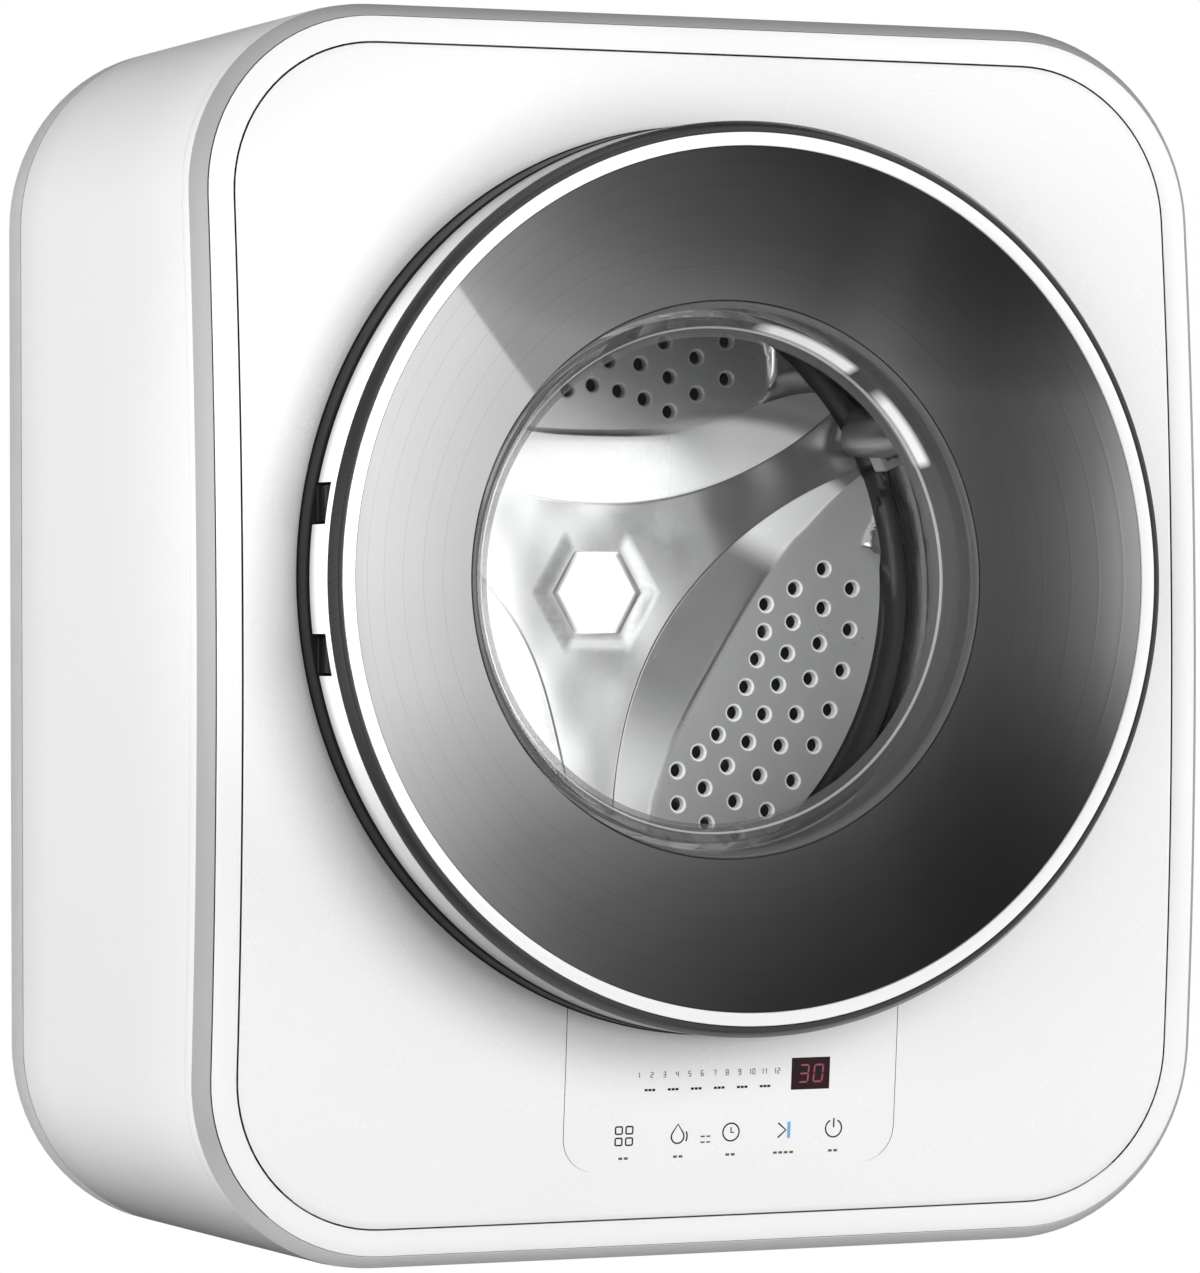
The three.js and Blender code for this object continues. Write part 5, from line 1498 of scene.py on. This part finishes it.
def fuse(ob, parts):
    """Joins closed meshes (verts, faces) to ob."""
    made = [temp(*c) for c in parts]
    for c in made:
        md = ob.modifiers.new("join", "BOOLEAN")
        md.operation, md.solver, md.object = "UNION", "EXACT", c
    dg = bpy.context.evaluated_depsgraph_get()
    me = bpy.data.meshes.new_from_object(ob.evaluated_get(dg))
    old = ob.data
    ob.modifiers.clear()
    ob.data = me
    bpy.data.meshes.remove(old)
    for c in made:
        d = c.data
        bpy.data.objects.remove(c)
        bpy.data.meshes.remove(d)
    me.polygons.foreach_set("use_smooth", [True] * len(me.polygons))
    me.set_sharp_from_angle(angle=math.radians(30))
    return ob


def make_lock():
    Z = DOOR_Z
    box_ob = add("lock_case", *boxmesh(169, 203, -4.6, 25, Z - 16, Z + 30), PLASTIC, "cabinet", "white_plastic", ("door_lock",))
    carve(box_ob, [boxmesh(174, 197.5, -6, 9, Z - 6, Z + 6), boxmesh(179, 197.5, 8, 21, Z - 6, Z + 6), boxmesh(174, 197.5, 15, 21, Z - 6, Z + 6)])
    bevel(box_ob, 0.6, 2)
    hook = add("latch_hook_steel", *boxmesh(181, 189, -22, 8, Z - 3, Z + 3), ZINC, "latch", "zinc_steel", ("latch_hook",))
    fuse(hook, [boxmesh(179.5, 191, 5, 19, Z - 3, Z + 3), column(185, -20, 4, Z - 3, Z + 3, 36), column(185, -19, 1.9, Z - 9, Z + 9, 24)])
    carve(hook, [boxmesh(170, 187.6, 8.6, 15.4, Z - 5, Z + 5)])
    bevel(hook, 0.35, 2)


make_lock()


# ---- finishes of the CAD nodes that stay shown ------------------------------------------------------
FINISH = {
    "tub_plastic": TUB, "stainless": DRUM_STEEL, "bright_steel": BRIGHT, "zinc_steel": ZINC, "cast_aluminium": ALU, "grey_rubber": RUBBER_GREY, "black_rubber": RUBBER_BLACK,
    "board_green": BOARD, "white_plastic": PLASTIC, "white_shell": WHITE_SIDE, "trim_grey": GREY, "cover_grey": COVER, "black_plastic": BLACK, "dark_metal": DARK,
    "smoked_plastic": DISH, "clear_glass": GLASS, "display_glass": DISPLAY,
}
NODE_SLOT = {
    "control_board": "board_green", "tub_front": "tub_plastic", "tub_rear": "tub_plastic", "shaft_seal": "black_rubber", "bearing_front": "bright_steel", "bearing_rear": "bright_steel",
    "tub_mount_1": "cast_aluminium", "tub_mount_2": "cast_aluminium", "tub_mount_3": "cast_aluminium", "tub_mount_4": "cast_aluminium", "drive_belt": "black_rubber",
    "motor_housing": "cast_aluminium", "pump_housing": "white_plastic", "pump_cover": "white_plastic", "sump_hose": "black_rubber", "drain_hose": "grey_rubber", "fill_hose": "black_rubber",
    "detergent_box": "white_plastic", "drum_spider": "cast_aluminium", "drum_shaft": "bright_steel", "drum_pulley": "cast_aluminium", "motor_shaft": "bright_steel", "motor_pulley": "zinc_steel",
    "pump_impeller": "white_plastic",
}
for node, slot_name in NODE_SLOT.items():
    ob = NODES[node]
    ob.data.materials.clear()
    ob.data.materials.append(FINISH[slot_name])
for node, ob in NODES.items():
    if not ob.hide_render and node not in NODE_SLOT:
        print("unlisted node still shown:", node)
for node in ("tub_mount_1", "tub_mount_2", "tub_mount_3", "tub_mount_4", "pump_housing", "pump_cover", "drum_pulley", "motor_housing", "control_board"):
    bevel(NODES[node], 0.6, 2, 50)


# ---- floor, light, camera ---------------------------------------------------------------------------
def make_stage():
    m = Mat("studio_floor")
    c = m.noise(1.3, 2.0)
    f = m.noise(90.0, 3.0)
    col = m.mixc(m.span(c, 0.3, 0.7), (0.6, 0.6, 0.6), (0.63, 0.63, 0.63))
    mat = m.done(m.principled(col, m.span(f, 0.2, 0.8, 0.55, 0.7), m.bump(f, 0.03, 0.0005), 0.0))
    s, z = 2.4, -0.95
    k = 12
    verts = [(-s + 2 * s * i / k, -s + 2 * s * j / k - 0.3, z) for j in range(k + 1) for i in range(k + 1)]
    faces = [(j * (k + 1) + i, j * (k + 1) + i + 1, (j + 1) * (k + 1) + i + 1, (j + 1) * (k + 1) + i) for j in range(k) for i in range(k)]
    me = bpy.data.meshes.new("studio_floor")
    me.from_pydata(verts, [], faces)
    me.materials.append(mat)
    ob = bpy.data.objects.new("studio_floor", me)
    scene.collection.objects.link(ob)
    ob.visible_glossy = False


make_stage()

# bright band of soft boxes at the horizon: (azimuth of the direction, strength)
AZ = [(-180, 2.4), (-150, 2.4), (-135, 2.2), (-126, 1.5), (-121, 0.97), (-117, 0.5), (-112, 0.3), (-107, 0.22), (-102, 0.19), (-97, 0.22), (-90, 0.35), (-82, 0.65), (-71, 0.95), (-60, 1.25),
      (-50, 1.45), (-40, 1.72), (-30, 1.9), (-20, 2.25), (-10, 2.5), (0, 1.9), (20, 0.3), (120, 0.3), (150, 1.2), (180, 2.4)]
EL = [(-90, 0.0), (-60, 0.06), (-50, 0.10), (-45, 0.17), (-40, 0.23), (-36, 0.32), (-33, 0.42), (-30, 0.55), (-27, 0.65), (-25, 0.76), (-23, 0.95), (-20, 1.0), (-8, 1.05), (0, 1.0), (9, 0.88),
      (17, 0.58), (25, 0.31), (33, 0.17), (40, 0.1), (50, 0.04), (90, 0.0)]
FACE_AZ = [(-105, 0.1), (-95, 0.1), (-86, 0.13), (-80, 0.17), (-75, 0.25), (-71, 0.4), (-68.5, 0.6), (-66, 0.95), (-63.5, 1.5), (-60.5, 2.1), (-56, 2.6), (-44, 2.8), (-36, 2.2), (-28, 1.8)]
BELOW_AZ = [(-100, 1.3), (-85, 2.1), (-75, 2.1), (-66, 2.0), (-56, 2.3), (-44, 2.4), (-30, 1.8)]
BASE_EL = [(-90, 0.9), (-67, 0.9), (-60, 0.006), (57, 0.006), (65, 1.0), (90, 1.0)]


def make_world():
    w = bpy.data.worlds.new("studio")
    scene.world = w
    w.use_nodes = True
    t = w.node_tree
    t.nodes.clear()

    def nd(kind, **props):
        n = t.nodes.new(kind)
        for k, v in props.items():
            setattr(n, k, v)
        return n

    def mth(op, a, b=None):
        n = nd("ShaderNodeMath", operation=op)
        for i, v in enumerate((a, b)):
            if v is None:
                continue
            if isinstance(v, bpy.types.NodeSocket):
                t.links.new(v, n.inputs[i])
            else:
                n.inputs[i].default_value = v
        return n.outputs[0]

    def ramp(fac, stops, scale):
        r = nd("ShaderNodeValToRGB")
        r.color_ramp.interpolation = "LINEAR"
        e = r.color_ramp.elements
        while len(e) > 1:
            e.remove(e[-1])
        for i, (p, v) in enumerate(stops):
            el = e[0] if i == 0 else e.new(p)
            el.position = p
            el.color = (v / scale,) * 3 + (1,)
        t.links.new(fac, r.inputs[0])
        return mth("MULTIPLY", r.outputs[0], scale)

    def direction(a, e):
        a, e = math.radians(a), math.radians(e)
        return Vector((math.cos(a) * math.cos(e), math.sin(a) * math.cos(e), math.sin(e)))

    def smooth(v, a, b):
        n = nd("ShaderNodeMapRange", interpolation_type="SMOOTHSTEP")
        n.inputs["From Min"].default_value, n.inputs["From Max"].default_value = a, b
        t.links.new(v, n.inputs["Value"])
        return n.outputs[0]

    tc = nd("ShaderNodeTexCoord")
    sep = nd("ShaderNodeSeparateXYZ")
    t.links.new(tc.outputs["Generated"], sep.inputs[0])
    x, y, z = sep.outputs
    az = mth("MULTIPLY", mth("ARCTAN2", y, x), 180 / math.pi)
    el = mth("MULTIPLY", mth("ARCSINE", z), 180 / math.pi)
    azf = mth("DIVIDE", mth("ADD", az, 180.0), 360.0)
    elf = mth("DIVIDE", mth("ADD", el, 90.0), 180.0)
    A = ramp(azf, [((a + 180) / 360.0, v) for a, v in AZ], 4.0)
    W = ramp(elf, [((a + 90) / 180.0, v) for a, v in EL], 1.0)
    B = ramp(elf, [((a + 90) / 180.0, v) for a, v in BASE_EL], 1.0)
    # the big side box ends in a straight edge
    dot = mth("ADD", mth("ADD", mth("MULTIPLY", x, 0.72195), mth("MULTIPLY", y, -0.03915)), mth("MULTIPLY", z, 0.69084))
    above = smooth(dot, 0.3742, 0.3802)
    right = smooth(az, -88.0, -74.0)
    cut = mth("SUBTRACT", 1.0, mth("MULTIPLY", mth("MULTIPLY", mth("SUBTRACT", 1.0, above), right), 0.476))
    wide = mth("ADD", mth("MULTIPLY", mth("MULTIPLY", A, W), cut), B)
    # what the flat steel at the back of the drum looks at
    mid = direction(-66.5, 0.0)
    near = mth("ADD", mth("ADD", mth("MULTIPLY", x, mid.x), mth("MULTIPLY", y, mid.y)), mth("MULTIPLY", z, mid.z))
    share = smooth(near, math.cos(math.radians(29.0)), math.cos(math.radians(25.0)))
    level = ramp(azf, [((a + 180) / 360.0, v) for a, v in FACE_AZ], 4.0)
    below = ramp(azf, [((a + 180) / 360.0, v) for a, v in BELOW_AZ], 4.0)
    low = smooth(mth("MULTIPLY", el, -1.0), 6.5, 10.5)
    face = mth("ADD", mth("MULTIPLY", level, mth("SUBTRACT", 1.0, low)), mth("MULTIPLY", below, low))
    E = mth("ADD", mth("MULTIPLY", wide, mth("SUBTRACT", 1.0, share)), mth("MULTIPLY", face, share))
    bg = nd("ShaderNodeBackground")
    t.links.new(E, bg.inputs["Strength"])
    cam_bg = nd("ShaderNodeBackground")
    cam_bg.inputs["Color"].default_value = (1, 1, 1, 1)
    cam_bg.inputs["Strength"].default_value = 1.0
    lp = nd("ShaderNodeLightPath")
    mix = nd("ShaderNodeMixShader")
    t.links.new(lp.outputs["Is Camera Ray"], mix.inputs[0])
    t.links.new(bg.outputs[0], mix.inputs[1])
    t.links.new(cam_bg.outputs[0], mix.inputs[2])
    out = nd("ShaderNodeOutputWorld")
    t.links.new(mix.outputs[0], out.inputs[0])
    w.cycles.sampling_method = "MANUAL"
    w.cycles.sample_map_resolution = 512


make_world()


def area(name, loc, target, size, power, glossy=False):
    l = bpy.data.lights.new(name, "AREA")
    l.shape = "RECTANGLE"
    l.size, l.size_y = size
    l.energy = power
    ob = bpy.data.objects.new(name, l)
    scene.collection.objects.link(ob)
    ob.location = loc
    ob.rotation_mode = "QUATERNION"
    ob.rotation_quaternion = (Vector(target) - Vector(loc)).to_track_quat("-Z", "Y")
    ob.visible_glossy = glossy
    ob.visible_camera = False
    return ob


area("key_front", (0.9, -3.5, 1.1), (0, -0.15, 0.05), (2.4, 1.6), 48.0)
area("key_left", (-3.4, -0.7, 0.25), (0, -0.15, 0.0), (2.0, 1.6), 54.0)
area("key_right", (1.5, -1.2, -0.1), (0.15, -0.25, 0.0), (0.8, 0.8), 2.6)
area("key_back", (0.9, 3.0, 0.9), (0, 0, 0), (2.2, 1.8), 40.0)
spot = bpy.data.lights.new("drum_spot", "SPOT")
spot.energy, spot.spot_size, spot.spot_blend, spot.shadow_soft_size = 400.0, math.radians(5.8), 0.25, 0.08
spot_ob = bpy.data.objects.new("drum_spot", spot)
scene.collection.objects.link(spot_ob)
spot_ob.location = (-1.5, -3.25, 0.9)
spot_ob.rotation_mode = "QUATERNION"
spot_ob.rotation_quaternion = (Vector((0.0, -0.15, 0.02)) - spot_ob.location).to_track_quat("-Z", "Y")
spot_ob.visible_glossy = False
spot_ob.visible_camera = False

cam = bpy.data.cameras.new("photo_camera")
cam.lens = 174.31
cam.sensor_width = 36.0
cam.sensor_fit = "AUTO"
cam.dof.use_dof = False
cam.clip_start, cam.clip_end = 0.05, 60.0
cam_ob = bpy.data.objects.new("photo_camera", cam)
scene.collection.objects.link(cam_ob)
R, U, F = Vector((0.9167659, -0.3994126, -0.0031466)), Vector((0.0027402, -0.0015885, 0.9999950)), Vector((0.3994156, 0.9167699, 0.0003619))
rot = Matrix((R, U, -F)).transposed()
cam_ob.matrix_world = Matrix.Translation(Vector((-1.2379, -2.9916, -0.00164))) @ rot.to_4x4()
scene.camera = cam_ob

scene.view_settings.view_transform = "Standard"
scene.view_settings.look = "None"
scene.view_settings.exposure = 0.0
scene.view_settings.gamma = 1.0
